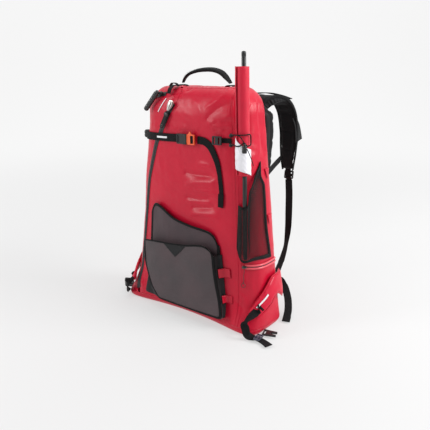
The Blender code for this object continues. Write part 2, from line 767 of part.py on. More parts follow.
def side_ring(inset):
    """The whole edge of the side pocket: up its front edge, along the mouth, down the back edge and along the foot."""
    k, h = inset / 0.13, inset / 0.2
    made = [side_point(k, v, 0.0019) for v in np.linspace(h, 1 - h, 9)]
    made += [side_point(min(max(u, k), 1 - k), 1 - h, 0.0019) for u in SIDE_COLUMNS[1:-1]]
    made += [side_point(1 - k, v, 0.0019) for v in np.linspace(1 - h, h, 12)]
    made += [side_point(min(max(u, k), 1 - k), h, 0.0019) for u in SIDE_COLUMNS[-2:0:-1]]
    return made


sheet("side_mesh_binding", [side_ring(0.007), side_ring(0.0)], 0.0012, BLACK_WEB, 1.0, ring=True)

# ---------------------------------------------------------------- compression strap
def front_path(s0, s1, z0, z1, count):
    return [(s0 + (s1 - s0) * k, z0 + (z1 - z0) * k) for k in np.linspace(0, 1, count)]


skin_strip("compression_strap_left", front_path(-0.208, -0.034, 0.580, 0.5850, 14), WEB_WIDTH, WEB, BLACK_WEB, off=0.0048, count=14)
BALL = skin(-0.226, 0.580, 0.0125)
turned(
    "strap_anchor_left",
    [(0.0, 0.0125), (0.0085, 0.0115), (0.0105, 0.008), (0.0105, -0.008), (0.0085, -0.0115), (0.0, -0.0125)],
    place_axes([1, 0, 0], [0, 0, 1], BALL), BLACK_PLASTIC, 12,
)

FB = skin(-0.0115, STRAP_Z)
BUCKLE_Y = FB[1] - 0.0125
female = block("female_buckle", (0.038, 0.031, 0.0105), place_axes([1, 0, 0], [0, -1, 0], (-0.0115, BUCKLE_Y, STRAP_Z)), BLACK_PLASTIC, 0)
cut(female, block("prong_cavity", (0.030, 0.0215, 0.0050), place_axes([1, 0, 0], [0, -1, 0], (-0.0010, BUCKLE_Y, STRAP_Z)), None, 0, collection=CUTTERS))
cut(female, block("prong_windows", (0.012, 0.050, 0.0050), place_axes([1, 0, 0], [0, -1, 0], (-0.0030, BUCKLE_Y, STRAP_Z)), None, 0, collection=CUTTERS))
cut(female, block("webbing_slot", (0.004, 0.0235, 0.030), place_axes([1, 0, 0], [0, -1, 0], (-0.0250, BUCKLE_Y, STRAP_Z)), None, 0, collection=CUTTERS))

prong = 0.0212
half = 0.0156
male_outline = [
    (0.030, -half), (0.030, half), (0.0, half), (0.0, 0.0090), (-0.006, 0.0090), (-0.006, 0.0098), (-prong, 0.0098),
    (-prong, 0.0050), (-0.010, 0.0046), (-0.006, 0.0030), (-0.006, -0.0030), (-0.010, -0.0046), (-prong, -0.0050),
    (-prong, -0.0098), (-0.006, -0.0098), (-0.006, -0.0090), (0.0, -0.0090), (0.0, -half),
]
male_rest = hinge_point("male_buckle_rest", (0.0082, BUCKLE_Y, STRAP_Z))
plate(
    "male_buckle",
    [male_outline, rounded(0.0120, 0.024, 0.0008, 1, (0.0195, 0))[::-1]],
    0.0042,
    place_axes([1, 0, 0], [0, -1, 0], (0.0082, BUCKLE_Y, STRAP_Z)),
    ORANGE,
    male_rest,
)

TAIL = [(0.0415, 0.5845), (0.055, 0.584), (0.070, 0.581), (0.090, 0.567), (0.105, 0.543), (0.117, 0.515), (0.126, 0.471), (0.131, 0.428), (0.129, 0.386)]
skin_strip("compression_strap_right", TAIL, WEB_WIDTH * 0.88, WEB, BLACK_WEB, off=0.0030, count=22)

LOCK_S, LOCK_Z = 0.1180, 0.589
LOCK_N = skin_normal(LOCK_S, LOCK_Z)
LOCK_ALONG = unit(skin(LOCK_S + 0.01, LOCK_Z) - skin(LOCK_S - 0.01, LOCK_Z))
plate(
    "strap_ladder_lock",
    [
        rounded(0.032, 0.026, 0.003, 2),
        rounded(0.005, 0.020, 0.0015, 1, (-0.008, 0))[::-1],
        rounded(0.005, 0.020, 0.0015, 1, (0.0075, 0))[::-1],
    ],
    0.0050,
    place_axes(LOCK_ALONG, LOCK_N, skin(LOCK_S, LOCK_Z, 0.0110)),
    BLACK_PLASTIC,
)
skin_strip("compression_strap_anchor", front_path(0.124, 0.160, 0.589, 0.590, 5), 0.014, WEB, BLACK_WEB, off=0.0022, count=5)

# ---------------------------------------------------------------- flag pole and rolled flag
flag_rest = hinge_point("flag_rest", POLE_FOOT)
pole_profile = [(0.0, 0.0)]
POLE_LENGTH = (POLE_TOP - POLE_FOOT).length
pole_profile += [(POLE_RADIUS * math.sin(t), -POLE_RADIUS + POLE_RADIUS * math.cos(t)) for t in np.linspace(0.45, math.pi / 2, 4)]
pole_profile += [(POLE_RADIUS, -POLE_LENGTH + 0.002), (POLE_RADIUS - 0.002, -POLE_LENGTH), (0.0, -POLE_LENGTH)]
pole_axis = (POLE_TOP - POLE_FOOT).normalized()
turned("flag_pole", pole_profile, place_axes([0, 1, 0], pole_axis, POLE_TOP), POLE_GREY, 12, flag_rest)

roll_mid = pole_at(sum(ROLL_Z) / 2) + Vector((ROLL_SHIFT, 0, 0))
roll_half = (ROLL_Z[1] - ROLL_Z[0]) / 2
roll = turned(
    "flag_roll",
    [(0.0, roll_half), (ROLL_RADIUS, roll_half), (ROLL_RADIUS, -roll_half), (0.0, -roll_half)],
    place_axes([0, 1, 0], pole_axis, roll_mid), FLAG, 20, flag_rest,
)
cut(roll, turned(
    "roll_bore",
    [(0.0, 0.2), (POLE_RADIUS + 0.0006, 0.2), (POLE_RADIUS + 0.0006, -0.2), (0.0, -0.2)],
    place_axes([0, 1, 0], pole_axis, pole_at(sum(ROLL_Z) / 2)), None, 12, collection=CUTTERS,
))

# ---------------------------------------------------------------- bungee round the roll
CORD_R = 0.0018
RC = pole_at(0.59) + Vector((ROLL_SHIFT, 0, 0))


def round_roll(turn, z, clear=0.0016):
    r = ROLL_RADIUS + CORD_R + clear
    c = pole_at(z) + Vector((ROLL_SHIFT, 0, 0))
    return np.array([c.x + r * math.cos(turn), c.y + r * math.sin(turn), z])


HIGH, LOW = 0.615, 0.5835
LOCK_TURN = math.radians(-48)
route = [skin(0.158, 0.605, 0.0045), skin(0.168, 0.6065, 0.0085)]
route += [round_roll(math.radians(a), HIGH - 0.000022 * abs(a)) for a in (-150, -120, -90, -60, -30, -5)]
route += [round_roll(math.radians(a), z) for a, z in ((10, HIGH - 0.004), (14, HIGH - 0.012), (14, LOW + 0.010), (10, LOW + 0.003))]
route += [round_roll(math.radians(a), LOW) for a in (-5, -28)]
route += [round_roll(LOCK_TURN, LOW + 0.0085, 0.0030), round_roll(math.radians(-72), LOW + 0.001, 0.0018)]
route += [round_roll(math.radians(a), LOW - 0.002) for a in (-95, -120, -150)]
route += [skin(0.168, 0.5785, 0.0085), skin(0.158, 0.577, 0.0045)]
tube("bungee_cord", through(route, 64), CORD_R, CORD)

LOCK_TOP = round_roll(LOCK_TURN, 0.5850, 0.0098)
lock_profile = [(0.0045, 0.0), (0.0070, -0.0010), (0.0070, -0.019), (0.0055, -0.021), (0.0, -0.021)]
body = turned("cord_lock_body", [(0.0, 0.0)] + lock_profile, place_axes([1, 0, 0], [0, 0, 1], LOCK_TOP), BLACK_PLASTIC, 12)
cut(body, turned(
    "cord_lock_bore", [(0.0, 0.01), (0.0040, 0.01), (0.0040, -0.012), (0.0, -0.012)],
    place_axes([1, 0, 0], [0, 0, 1], LOCK_TOP), None, 12, collection=CUTTERS,
))
button_rest = hinge_point("cord_lock_button_rest", LOCK_TOP)
turned(
    "cord_lock_button", [(0.0, 0.0055), (0.0034, 0.0048), (0.0034, -0.0070), (0.0, -0.0070)],
    place_axes([1, 0, 0], [0, 0, 1], LOCK_TOP), BLACK_PLASTIC, 12, button_rest,
)
TAIL_TOP = LOCK_TOP + np.array([0.0092, -0.0010, -0.0080])
tail_route = [TAIL_TOP, TAIL_TOP + [0.0045, -0.001, -0.006], TAIL_TOP + [0.0095, 0.001, -0.018], TAIL_TOP + [0.0160, 0.004, -0.036], TAIL_TOP + [0.0180, 0.006, -0.046]]
tube("bungee_tail", through(tail_route, 16), 0.0012, CORD)

# ---------------------------------------------------------------- top handle
HANDLE_Z = 0.7505
HANDLE_Y = 0.012
for name, x in (("handle_anchor_left", -0.1005), ("handle_anchor_right", 0.0945)):
    block(name, (0.030, 0.024, 0.0035), place_axes([1, 0, 0], [0, 0, 1], (x, HANDLE_Y, HEIGHT + GAP + 0.00175)), BLACK_WEB, 0.0008)
handle_hinge = hinge_point("handle_hinge", (0.0, HANDLE_Y, HANDLE_Z))
arch = [(-0.0985, HANDLE_Z), (-0.093, 0.761), (-0.074, 0.777), (-0.039, 0.7875), (-0.002, 0.791), (0.030, 0.7895), (0.058, 0.781), (0.079, 0.764), (0.0925, HANDLE_Z)]
arch = through([(x, HANDLE_Y, z) for x, z in arch], 17)
wide = np.interp(np.linspace(0, 1, 17), (0, 0.1, 0.9, 1), (0.010, 0.0175, 0.0175, 0.010))
ribbon("top_handle", arch, (0, 1, 0), wide, 0.0032, BLACK_WEB, 0.0, parent=handle_hinge)

# ---------------------------------------------------------------- harness
def mirror_x(p):
    return np.array(p) * np.array([-1.0, 1.0, 1.0])


rows = []
for z, half_width, depth in ((0.395, 0.150, 0.092), (0.420, 0.184, 0.104), (0.50, 0.188, 0.106), (0.60, 0.188, 0.106), (0.655, 0.184, 0.104), (0.684, 0.150, 0.092)):
    half_width = min(half_width, half_sizes(z)[0] - 0.012)
    row = [np.array([half_width * k, depth - 0.007 * max(0.0, abs(k) - 0.8) / 0.2, z]) for k in (-1, -0.93, -0.75, -0.5, -0.25, 0, 0.25, 0.5, 0.75, 0.93, 1)]
    rows.append(row[::-1])
pad_base = [[np.array([p[0], back_y(p[0], p[2]) + 0.0030, p[2]]) for p in row] for row in rows]


def closed_pad(name, outer, inner, material):
    """A closed pad between an outer and an inner surface with the same grid."""
    mesh = bpy.data.meshes.new(name)
    bm = bmesh.new()
    a = [[bm.verts.new(Vector(p)) for p in row] for row in outer]
    b = [[bm.verts.new(Vector(p)) for p in row] for row in inner]
    n, m = len(a), len(a[0])
    for i in range(n - 1):
        for j in range(m - 1):
            bm.faces.new((a[i][j], a[i][j + 1], a[i + 1][j + 1], a[i + 1][j]))
            bm.faces.new((b[i][j], b[i + 1][j], b[i + 1][j + 1], b[i][j + 1]))
    loop_a = [a[0][j] for j in range(m)] + [a[i][m - 1] for i in range(1, n)] + [a[n - 1][j] for j in range(m - 2, -1, -1)] + [a[i][0] for i in range(n - 2, 0, -1)]
    loop_b = [b[0][j] for j in range(m)] + [b[i][m - 1] for i in range(1, n)] + [b[n - 1][j] for j in range(m - 2, -1, -1)] + [b[i][0] for i in range(n - 2, 0, -1)]
    for k in range(len(loop_a)):
        q = (k + 1) % len(loop_a)
        bm.faces.new((loop_a[q], loop_a[k], loop_b[k], loop_b[q]))
    bmesh.ops.recalc_face_normals(bm, faces=bm.faces)
    bm.to_mesh(mesh)
    bm.free()
    smooth(mesh)
    return add(name, mesh, material)


closed_pad("back_pad", rows, pad_base, FOAM)

PAD_LINE = [(0.100, 0.1195, 0.650), (0.106, 0.137, 0.688), (0.121, 0.180, 0.7065), (0.138, 0.228, 0.695), (0.150, 0.258, 0.655), (0.156, 0.270, 0.590), (0.156, 0.271, 0.530), (0.155, 0.273, 0.478), (0.154, 0.277, 0.452)]
PAD_WIDE = (0.060, 0.062, 0.066, 0.068, 0.068, 0.068, 0.064, 0.056, 0.040)
WEB_LINE = [
    (0.154, 0.287, 0.414), (0.155, 0.292, 0.360), (0.156, 0.293, 0.300), (0.160, 0.286, 0.235), (0.170, 0.256, 0.180),
    (0.183, 0.208, 0.142), (0.192, 0.170, 0.1225), (0.1975, 0.150, 0.1155),
]
WEB_FACE = [
    (0.95, 0.3, 0), (0.92, 0.38, 0), (0.92, 0.38, 0), (1, 0.05, 0), (0.8, -0.55, 0.1),
    (0.9, -0.3, 0.1), (1, -0.1, 0), (1, 0, 0),
]
# the webbing turns round the ladder lock's outer bar and comes out below it as the free tail
LOCK_TURNS = [(0.1985, 0.1430, 0.1118), (0.1990, 0.1350, 0.1072), (0.1990, 0.1300, 0.1030), (0.1990, 0.1300, 0.0990), (0.1990, 0.1340, 0.0960), (0.1995, 0.1400, 0.0972)]
TAIL_LINE = [(0.2020, 0.1480, 0.0960), (0.2085, 0.1545, 0.0900), (0.222, 0.1550, 0.075), (0.240, 0.1440, 0.057), (0.262, 0.119, 0.040), (0.281, 0.088, 0.023), (0.293, 0.060, 0.0125), (0.302, 0.036, 0.0065)]
TAIL_FACE = [(1, 0, 0), (0.9, 0.3, 0.3), (0.65, 0.65, 0.4), (0.75, 0.65, 0.1), (0.84, 0.54, 0), (0.86, 0.5, 0), (0.88, 0.47, 0), (0.9, 0.42, 0)]


def along(line, faces, count):
    """Evenly spaced points along a line, with the directions across it."""
    points = through(line, count)
    span = np.concatenate([[0], np.cumsum([math.dist(p, q) for p, q in zip(line, line[1:])])])
    at = np.linspace(0, span[-1], count)
    return list(points), [np.array([np.interp(t, span, [f[k] for f in faces]) for k in range(3)]) for t in at]


def side_pieces(side, flip):
    """The harness pieces of one side; flip mirrors the right-hand ones to the left."""
    line = through([flip(p) for p in PAD_LINE], 13)
    wide = np.interp(np.linspace(0, 1, 13), np.linspace(0, 1, 9), PAD_WIDE)
    keep = 1.0 if side == "right" else -1.0
    rows = []
    for p, w in zip(line, wide):
        rows.append([p + np.array([keep * w * k, 0, 0]) for k in (-0.5, -0.18, 0.18, 0.5)])
    sheet("shoulder_pad_" + side, rows, 0.012, FOAM, 0.0)

    high, high_face = along(WEB_LINE, WEB_FACE, 18)
    low, low_face = along(TAIL_LINE, TAIL_FACE, 15)
    web = [flip(p) for p in high + [np.array(p) for p in LOCK_TURNS] + low]
    face = np.array([flip(p) for p in high_face + [np.array([1.0, 0, 0])] * len(LOCK_TURNS) + low_face])
    wide = [WEB_WIDTH] * 15 + [0.022] * (3 + len(LOCK_TURNS) + 3) + [WEB_WIDTH] * 12
    ribbon("shoulder_webbing_" + side, web, face, wide, WEB, BLACK_WEB, 0.0)

    buckle_at = flip((0.154, 0.2865, 0.4325))
    m = place_axes([0, -0.12, -1.0], [0, 1.0, -0.12], buckle_at)
    plate("pad_buckle_" + side, [rounded(0.030, 0.034, 0.004, 2), rounded(0.005, 0.026, 0.001, 1, (0.0075, 0))[::-1], rounded(0.005, 0.026, 0.001, 1, (-0.0065, 0))[::-1]], 0.006, m, BLACK_PLASTIC)

    lifter = through([flip(p) for p in ((0.086, 0.0850, 0.7060), (0.097, 0.112, 0.7180), (0.119, 0.165, 0.7230), (0.140, 0.222, 0.7170), (0.156, 0.268, 0.7035))], 9)
    ribbon("load_lifter_" + side, lifter, (1, 0, 0), 0.022, WEB, BLACK_WEB, 0.0)

    stab = through([flip(p) for p in ((0.166, 0.1130, 0.462), (0.160, 0.150, 0.472), (0.148, 0.205, 0.484), (0.136, 0.2535, 0.491))], 7)
    ribbon("stabiliser_" + side, stab, (0.05 * keep, 0.1, 1.0), WEB_WIDTH, WEB, BLACK_WEB, 0.0)

    lock_at = flip((0.1990, 0.1275, 0.1020))
    m = place_axes((0.0, 1.0, 0.10), (0.0, -0.10, 1.0), lock_at)
    plate("lower_ladder_lock_" + side, [rounded(0.030, 0.032, 0.003, 2), rounded(0.0075, 0.026, 0.001, 1, (0.0040, 0))[::-1], rounded(0.0045, 0.026, 0.001, 1, (-0.0085, 0))[::-1]], 0.0045, m, BLACK_PLASTIC)
    tab = through([flip(p) for p in ((0.192, 0.0860, 0.094), (0.195, 0.0990, 0.0945), (0.198, 0.1120, 0.0950), (0.1985, 0.1210, 0.0958))], 5)
    ribbon("lower_tab_" + side, tab, (1, 0, 0), 0.024, WEB, BLACK_WEB, 0.0)

    # hip wing, folded forward along the side of the bag
    drop, puff = (0.0, 0.009) if side == "right" else (0.014, 0.003)

    def wing(u, v, extra=0.0):
        top_s = smooth_value(u, (0, 0.35, 0.68, 1), (0.372, 0.312, 0.268, 0.240))
        top_z = smooth_value(u, (0, 0.35, 0.68, 1), (0.170, 0.168, 0.122, 0.070))
        low_s = smooth_value(u, (0, 0.35, 0.68, 1), (0.376, 0.326, 0.290, 0.268))
        low_z = smooth_value(u, (0, 0.35, 0.68, 1), (0.085, 0.112, 0.080, 0.054))
        s = top_s * (1 - v) + low_s * v
        z = top_z * (1 - v) + low_z * v - drop * min(1.0, 2 * u)
        return flip(skin(s, z, 0.0058 + puff * v * min(1.0, 0.35 + 1.6 * u) + extra))

    axis_at = flip(skin(0.388, 0.125, 0.016))
    hinge = hinge_point("hip_hinge_" + side, axis_at)
    rows = [[wing(u, v) for v in (1.0, 0.66, 0.33, 0.0)] for u in np.linspace(0, 1, 9)]
    if side == "left":
        rows = [row[::-1] for row in rows]
    sheet("hip_wing_" + side, rows, 0.0105, RED, 1.0, parent=hinge)

    if side == "right":
        web = [(0.2545, -0.1300, 0.0560), (0.2580, -0.1330, 0.036), (0.2620, -0.1290, 0.017), (0.2740, -0.1200, 0.0085), (0.2900, -0.1140, 0.0065), (0.318, -0.120, 0.0060), (0.340, -0.131, 0.0075)]
        facing = [(0.62, 0.3, 0.7), (0.6, 0.6, 0.45), (0.4, 0.85, 0.2), (0.2, 0.95, 0.05), (0.2, 0.97, 0.0), (0.42, 0.9, 0.0), (0.45, 0.88, 0.1)]
        line, face = along(web, facing, 15)
        ribbon("hip_webbing_right", line, np.array(face), WEB_WIDTH, WEB, BLACK_WEB, 0.0, parent=hinge)
        m = place_axes((1.0, 0.10, 0.0), (0, 0, 1), (0.2930, -0.1145, 0.0125))
        plate("hip_triglide_right", [rounded(0.020, 0.034, 0.003, 2), rounded(0.0045, 0.027, 0.001, 1, (0.0050, 0))[::-1], rounded(0.0045, 0.027, 0.001, 1, (-0.0050, 0))[::-1]], 0.0040, m, BLUE_GREY, hinge)
    else:
        web = [(-0.2545, -0.1300, 0.0560), (-0.2600, -0.1310, 0.036), (-0.2680, -0.1220, 0.017), (-0.2800, -0.1080, 0.0090), (-0.2920, -0.0960, 0.0080)]
        facing = [(0.62, -0.3, -0.7), (0.6, -0.6, -0.45), (0.6, -0.75, -0.2), (0.7, -0.72, -0.05), (0.75, -0.65, 0.0)]
        line, face = along(web, facing, 10)
        ribbon("hip_webbing_left", line, -np.array(face), WEB_WIDTH, WEB, BLACK_WEB, 0.0, parent=hinge)
    return hinge


right_hinge = side_pieces("right", lambda p: np.array(p, float))
left_hinge_point = side_pieces("left", mirror_x)

# ---------------------------------------------------------------- hip belt buckle halves
m = place_axes((0.96, 0.28, 0.0), (0, 0, 1), (0.2960, -0.0700, 0.0085))
plate(
    "hip_buckle_male",
    [[(0.030, -0.012), (0.030, -0.007), (0.012, -0.005), (0.012, 0.005), (0.030, 0.007), (0.030, 0.012), (0.008, 0.014),
      (-0.012, 0.016), (-0.012, -0.016), (0.008, -0.014)], rounded(0.006, 0.025, 0.001, 1, (-0.006, 0))[::-1]],
    0.006, m, BLACK_PLASTIC, right_hinge,
)
m = place_axes((-0.75, 0.62, 0.25), (0.24, 0.05, 0.97), (-0.3100, -0.0720, 0.0200))
plate(
    "hip_buckle_female",
    [rounded(0.044, 0.034, 0.005, 2), rounded(0.005, 0.025, 0.001, 1, (-0.015, 0))[::-1], rounded(0.014, 0.020, 0.002, 1, (0.008, 0))[::-1]],
    0.008, m, BLACK_PLASTIC, left_hinge_point,
)

bpy.context.view_layer.update()
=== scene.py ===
"""The looks of the dry backpack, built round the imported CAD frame.

Everything is in metres in the CAD's own frame: the bag's front faces -Y, the harness is on
+Y, +X is the flag pole's side, and the flat base is at z 0."""

import math

import bmesh
import bpy
import numpy as np
from mathutils import Matrix, Vector


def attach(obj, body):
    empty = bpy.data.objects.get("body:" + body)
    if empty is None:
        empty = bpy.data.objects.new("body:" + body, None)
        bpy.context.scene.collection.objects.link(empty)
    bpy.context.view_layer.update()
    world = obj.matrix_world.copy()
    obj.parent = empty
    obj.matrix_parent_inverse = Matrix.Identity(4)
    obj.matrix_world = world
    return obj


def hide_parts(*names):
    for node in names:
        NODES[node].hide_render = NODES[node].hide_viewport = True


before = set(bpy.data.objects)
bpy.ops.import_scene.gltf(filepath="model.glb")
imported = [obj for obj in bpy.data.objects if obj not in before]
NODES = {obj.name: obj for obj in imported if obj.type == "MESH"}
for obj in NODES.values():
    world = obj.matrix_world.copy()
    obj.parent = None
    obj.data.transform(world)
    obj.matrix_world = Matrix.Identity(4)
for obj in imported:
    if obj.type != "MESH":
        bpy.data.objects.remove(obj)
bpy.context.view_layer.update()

scene = bpy.context.scene

# ---------------------------------------------------------------- camera
eye = bpy.data.cameras.new("camera")
eye.sensor_width = 36.0
eye.lens = 501.06 / 430 * 36
camera = bpy.data.objects.new("camera", eye)
scene.collection.objects.link(camera)
camera.location = (1.0096, -1.2722, 0.7814)
camera.rotation_euler = (math.pi / 2 - math.radians(15.853), 0.0, math.radians(37.287))
scene.camera = camera

# ---------------------------------------------------------------- driving dimensions, as in the CAD
HEIGHT = 0.740
SECTION_POWER = 3.6          # roundness of the bag's plan section
FOOT_POWER = 6.5             # and at the ground, where the corners are squarer
FOOT_CORNER = 0.43           # how far the front corners spread at the ground
FOOT_RISE = 0.12             # height where both have faded out
TOP_ROUND = 0.085
BASE_ROUND = 0.020
WIDTH_LEVELS = (0.0, 0.12, 0.25, 0.38, 0.52, 0.64, 0.74)
HALF_WIDTHS = (0.284, 0.266, 0.249, 0.235, 0.218, 0.203, 0.201)
DEPTH_LEVELS = (0.0, 0.37, 0.74)
FRONT_DEPTHS = (0.104, 0.088, 0.085)
BACK_DEPTH = 0.085
PANEL = 0.003                # wall thickness of the welded panels
SEAM = 0.0006                # half of the gap that each welded seam keeps
WEB = 0.002                  # webbing thickness
WEB_WIDTH = 0.025
GAP = 0.0005                 # gap between pieces that touch
LAY = 0.0016                 # how far a strip that lies on the bag stands off its surface

WALL_BOTTOM = 0.0215
WALL_TOP = 0.6990

STRAP_Z = 0.585              # height of the compression strap
POCKET_ZIP_Z = 0.2095
POLE_RADIUS = 0.0065
POLE_TOP = Vector((0.2060, -0.088, 0.838))
POLE_FOOT = Vector((0.2229, -0.088, 0.238))
ROLL_RADIUS = 0.0205
ROLL_SHIFT = -0.005          # the flag is wound a little off the pole's axis
ROLL_Z = (0.496, 0.798)


# ---------------------------------------------------------------- the bag's surface, as in the CAD
def smooth_value(x, xs, ys):
    """A monotone cubic through (xs, ys)."""
    if x <= xs[0]:
        return ys[0]
    if x >= xs[-1]:
        return ys[-1]
    d = [(ys[i + 1] - ys[i]) / (xs[i + 1] - xs[i]) for i in range(len(xs) - 1)]
    m = [d[0]]
    for i in range(1, len(d)):
        m.append(0.0 if d[i - 1] * d[i] <= 0 else 2 * d[i - 1] * d[i] / (d[i - 1] + d[i]))
    m.append(d[-1])
    i = max(k for k in range(len(xs) - 1) if xs[k] <= x)
    h = xs[i + 1] - xs[i]
    t = (x - xs[i]) / h
    return (
        ys[i] * (1 + 2 * t) * (1 - t) ** 2
        + m[i] * h * t * (1 - t) ** 2
        + ys[i + 1] * t * t * (3 - 2 * t)
        + m[i + 1] * h * t * t * (t - 1)
    )


def half_sizes(z):
    """Half width, depth in front and depth behind of the bag's section at height z."""
    a = smooth_value(z, WIDTH_LEVELS, HALF_WIDTHS)
    f = smooth_value(z, DEPTH_LEVELS, FRONT_DEPTHS)
    b = BACK_DEPTH
    if z > HEIGHT - TOP_ROUND:
        q = min(1.0, (z - (HEIGHT - TOP_ROUND)) / TOP_ROUND)
        s = 1 - math.sqrt(max(0.0, 1 - q * q))
        a -= TOP_ROUND * 0.75 * s
        f -= TOP_ROUND * 0.70 * s
        b -= TOP_ROUND * 0.35 * s
    if z < BASE_ROUND:
        q = 1 - max(0.0, z) / BASE_ROUND
        s = 1 - math.sqrt(max(0.0, 1 - q * q))
        a -= BASE_ROUND * s
        f -= BASE_ROUND * s
        b -= BASE_ROUND * s
    return a, f, b


def half_turn():
    """Angles from the front centre to the back centre, dense along the flats and the corner."""
    k = np.linspace(0, 0.83, 60)
    front = -np.arccos(k ** (SECTION_POWER / 2))
    side = -np.arcsin(np.linspace(0.83, 0, 40) ** (SECTION_POWER / 2))
    quarter = np.concatenate([front, side[1:]])
    return np.concatenate([quarter, -quarter[::-1][1:]])


TURN = half_turn()
SECTIONS = {}


def section(z):
    key = round(z, 6)
    if key not in SECTIONS:
        a, f, b = half_sizes(z)
        near = max(0.0, 1 - z / FOOT_RISE) ** 2
        power = np.where(TURN < 0, 2 / (SECTION_POWER + (FOOT_POWER - SECTION_POWER) * near), 2 / SECTION_POWER)
        x = a * np.cos(TURN).clip(0) ** power
        front = f * (1 + FOOT_CORNER * near * (x / a) ** 2)
        y = np.sign(TURN) * np.where(TURN < 0, front, b) * np.abs(np.sin(TURN)) ** power
        s = np.concatenate([[0], np.cumsum(np.hypot(np.diff(x), np.diff(y)))])
        SECTIONS[key] = (s, x, y)
    return SECTIONS[key]


def girth(z):
    return float(section(z)[0][-1])


def on_skin(s, z):
    """The point at distance s along the girth, right of the front centre line, at height z."""
    z = min(max(z, 0.0), HEIGHT)
    l, x, y = section(z)
    whole = 2 * l[-1]
    s = (s + whole / 2) % whole - whole / 2
    return np.array([math.copysign(np.interp(abs(s), l, x), s), np.interp(abs(s), l, y), z])


def skin_normal(s, z):
    e = 0.004
    ds = on_skin(s + e, z) - on_skin(s - e, z)
    dz = on_skin(s, z + e) - on_skin(s, z - e)
    n = np.cross(ds, dz)
    return n / np.linalg.norm(n)


def skin(s, z, off=0.0):
    return on_skin(s, z) + off * skin_normal(s, z) if off else on_skin(s, z)


def back_y(x, z):
    """Depth of the bag's back surface at x."""
    l, sx, sy = section(z)
    half = len(sx) // 2
    return float(np.interp(-abs(x), -sx[half:], sy[half:]))


def back_edge(z):
    """Girth distance of the seam between a side and the back."""
    return girth(z) - 0.70 * half_sizes(z)[0]


ZIP_LEVELS = (0.0, 0.027, 0.065, 0.124, 0.220, 0.265, 0.428, 0.471, 0.515, 0.567, 0.587, 0.614, 0.650, 0.675, 0.70)
ZIP_GIRTH = (-0.205, -0.218, -0.233, -0.227, -0.214, -0.208, -0.183, -0.170, -0.154, -0.134, -0.121, -0.106, -0.084, -0.068, -0.053)
RIGHT_LEVELS = (0.0, 0.197, 0.291, 0.415, 0.564, 0.70)
RIGHT_GIRTH = (0.208, 0.196, 0.187, 0.179, 0.169, 0.152)


def zip_line(z):
    """Girth distance of the main zip, which parts the front from the left side."""
    return smooth_value(z, ZIP_LEVELS, ZIP_GIRTH)


def right_edge(z):
    return smooth_value(z, RIGHT_LEVELS, RIGHT_GIRTH)


def through(points, count):
    """count points spaced evenly along a smooth curve through the given ones."""
    p = [np.array(q, float) for q in points]
    p = [2 * p[0] - p[1]] + p + [2 * p[-1] - p[-2]]
    fine = []
    for i in range(1, len(p) - 2):
        for t in np.linspace(0, 1, 24, endpoint=False):
            a, b, c, d = p[i - 1], p[i], p[i + 1], p[i + 2]
            fine.append(
                0.5 * (2 * b + (c - a) * t + (2 * a - 5 * b + 4 * c - d) * t * t + (3 * b - a - 3 * c + d) * t ** 3)
            )
    fine.append(p[-2])
    fine = np.array(fine)
    s = np.concatenate([[0], np.cumsum(np.linalg.norm(np.diff(fine, axis=0), axis=1))])
    at = np.linspace(0, s[-1], count)
    return np.stack([np.interp(at, s, fine[:, k]) for k in range(fine.shape[1])], 1)


def unit(v):
    v = np.array(v, float)
    return v / np.linalg.norm(v)


ZIP_SLOT = 0.004
ZIP_TAPE = 0.018
ZIP_DIR = unit([-0.036, -0.0035, -0.066])
ZIP_OUT = unit([0.0, -1.0, 0.04])
SLIDER_AT = np.array([-0.0645, -0.0935, 0.6835])
PULL_AT = SLIDER_AT + ZIP_DIR * 0.0192
PULL_DIR = unit([-0.028, -0.0035, -0.056])
PULL_LENGTH = 0.060
LEFT_ZIP = [(-0.086, 0.7185), (-0.118, 0.7145), (-0.150, 0.7075), (-0.190, 0.689), (-0.225, 0.655), (-0.255, 0.60), (-0.275, 0.50), (-0.287, 0.40)]
LEFT_START = through([(s, z, 0.0) for s, z in LEFT_ZIP], 24)[2]
LN = skin_normal(LEFT_START[0], LEFT_START[1])
LD = unit(skin(-0.146, 0.7083) - skin(-0.118, 0.7145))
LEFT_SLIDER_AT = skin(LEFT_START[0], LEFT_START[1]) + LN * 0.0085
PULL_R = 0.0082
LEFT_PULL_AT = LEFT_SLIDER_AT + LN * 0.0045 + np.array([0.0, -0.0095, 0.0035])
LEFT_PULL_END = np.array([-0.1790, -0.0860, 0.6640])
LEFT_PULL_DIR = unit(LEFT_PULL_END - LEFT_PULL_AT)
LONG = float(np.linalg.norm(LEFT_PULL_END - LEFT_PULL_AT))
PZ = 0.2155
POCKET_OUT = skin_normal(PZ, POCKET_ZIP_Z)
POCKET_SLIDER_AT = skin(PZ, POCKET_ZIP_Z) + POCKET_OUT * 0.0082
POCKET_DIR = unit(skin(PZ + 0.006, POCKET_ZIP_Z) - skin(PZ - 0.006, POCKET_ZIP_Z))
POCKET_HANG = unit(skin(PZ, 0.150) - skin(PZ, POCKET_ZIP_Z))
POCKET_PULL_AT = POCKET_SLIDER_AT + POCKET_HANG * 0.0072 + POCKET_OUT * 0.0010
MESH_TOP_S = (-0.166, -0.150, -0.135, -0.108, -0.047, 0.010, 0.092, 0.115, 0.131)
MESH_TOP_Z = (0.330, 0.357, 0.361, 0.353, 0.326, 0.315, 0.305, 0.292, 0.262)
MESH_FOOT = 0.074


def mesh_left(z):
    return smooth_value(z, (0.0, 0.222, 0.293, 0.347), (-0.176, -0.169, -0.166, -0.164))


def mesh_right(z):
    return smooth_value(z, (0.0, 0.09, 0.186, 0.227, 0.27, 0.36), (0.164, 0.153, 0.139, 0.133, 0.130, 0.130))


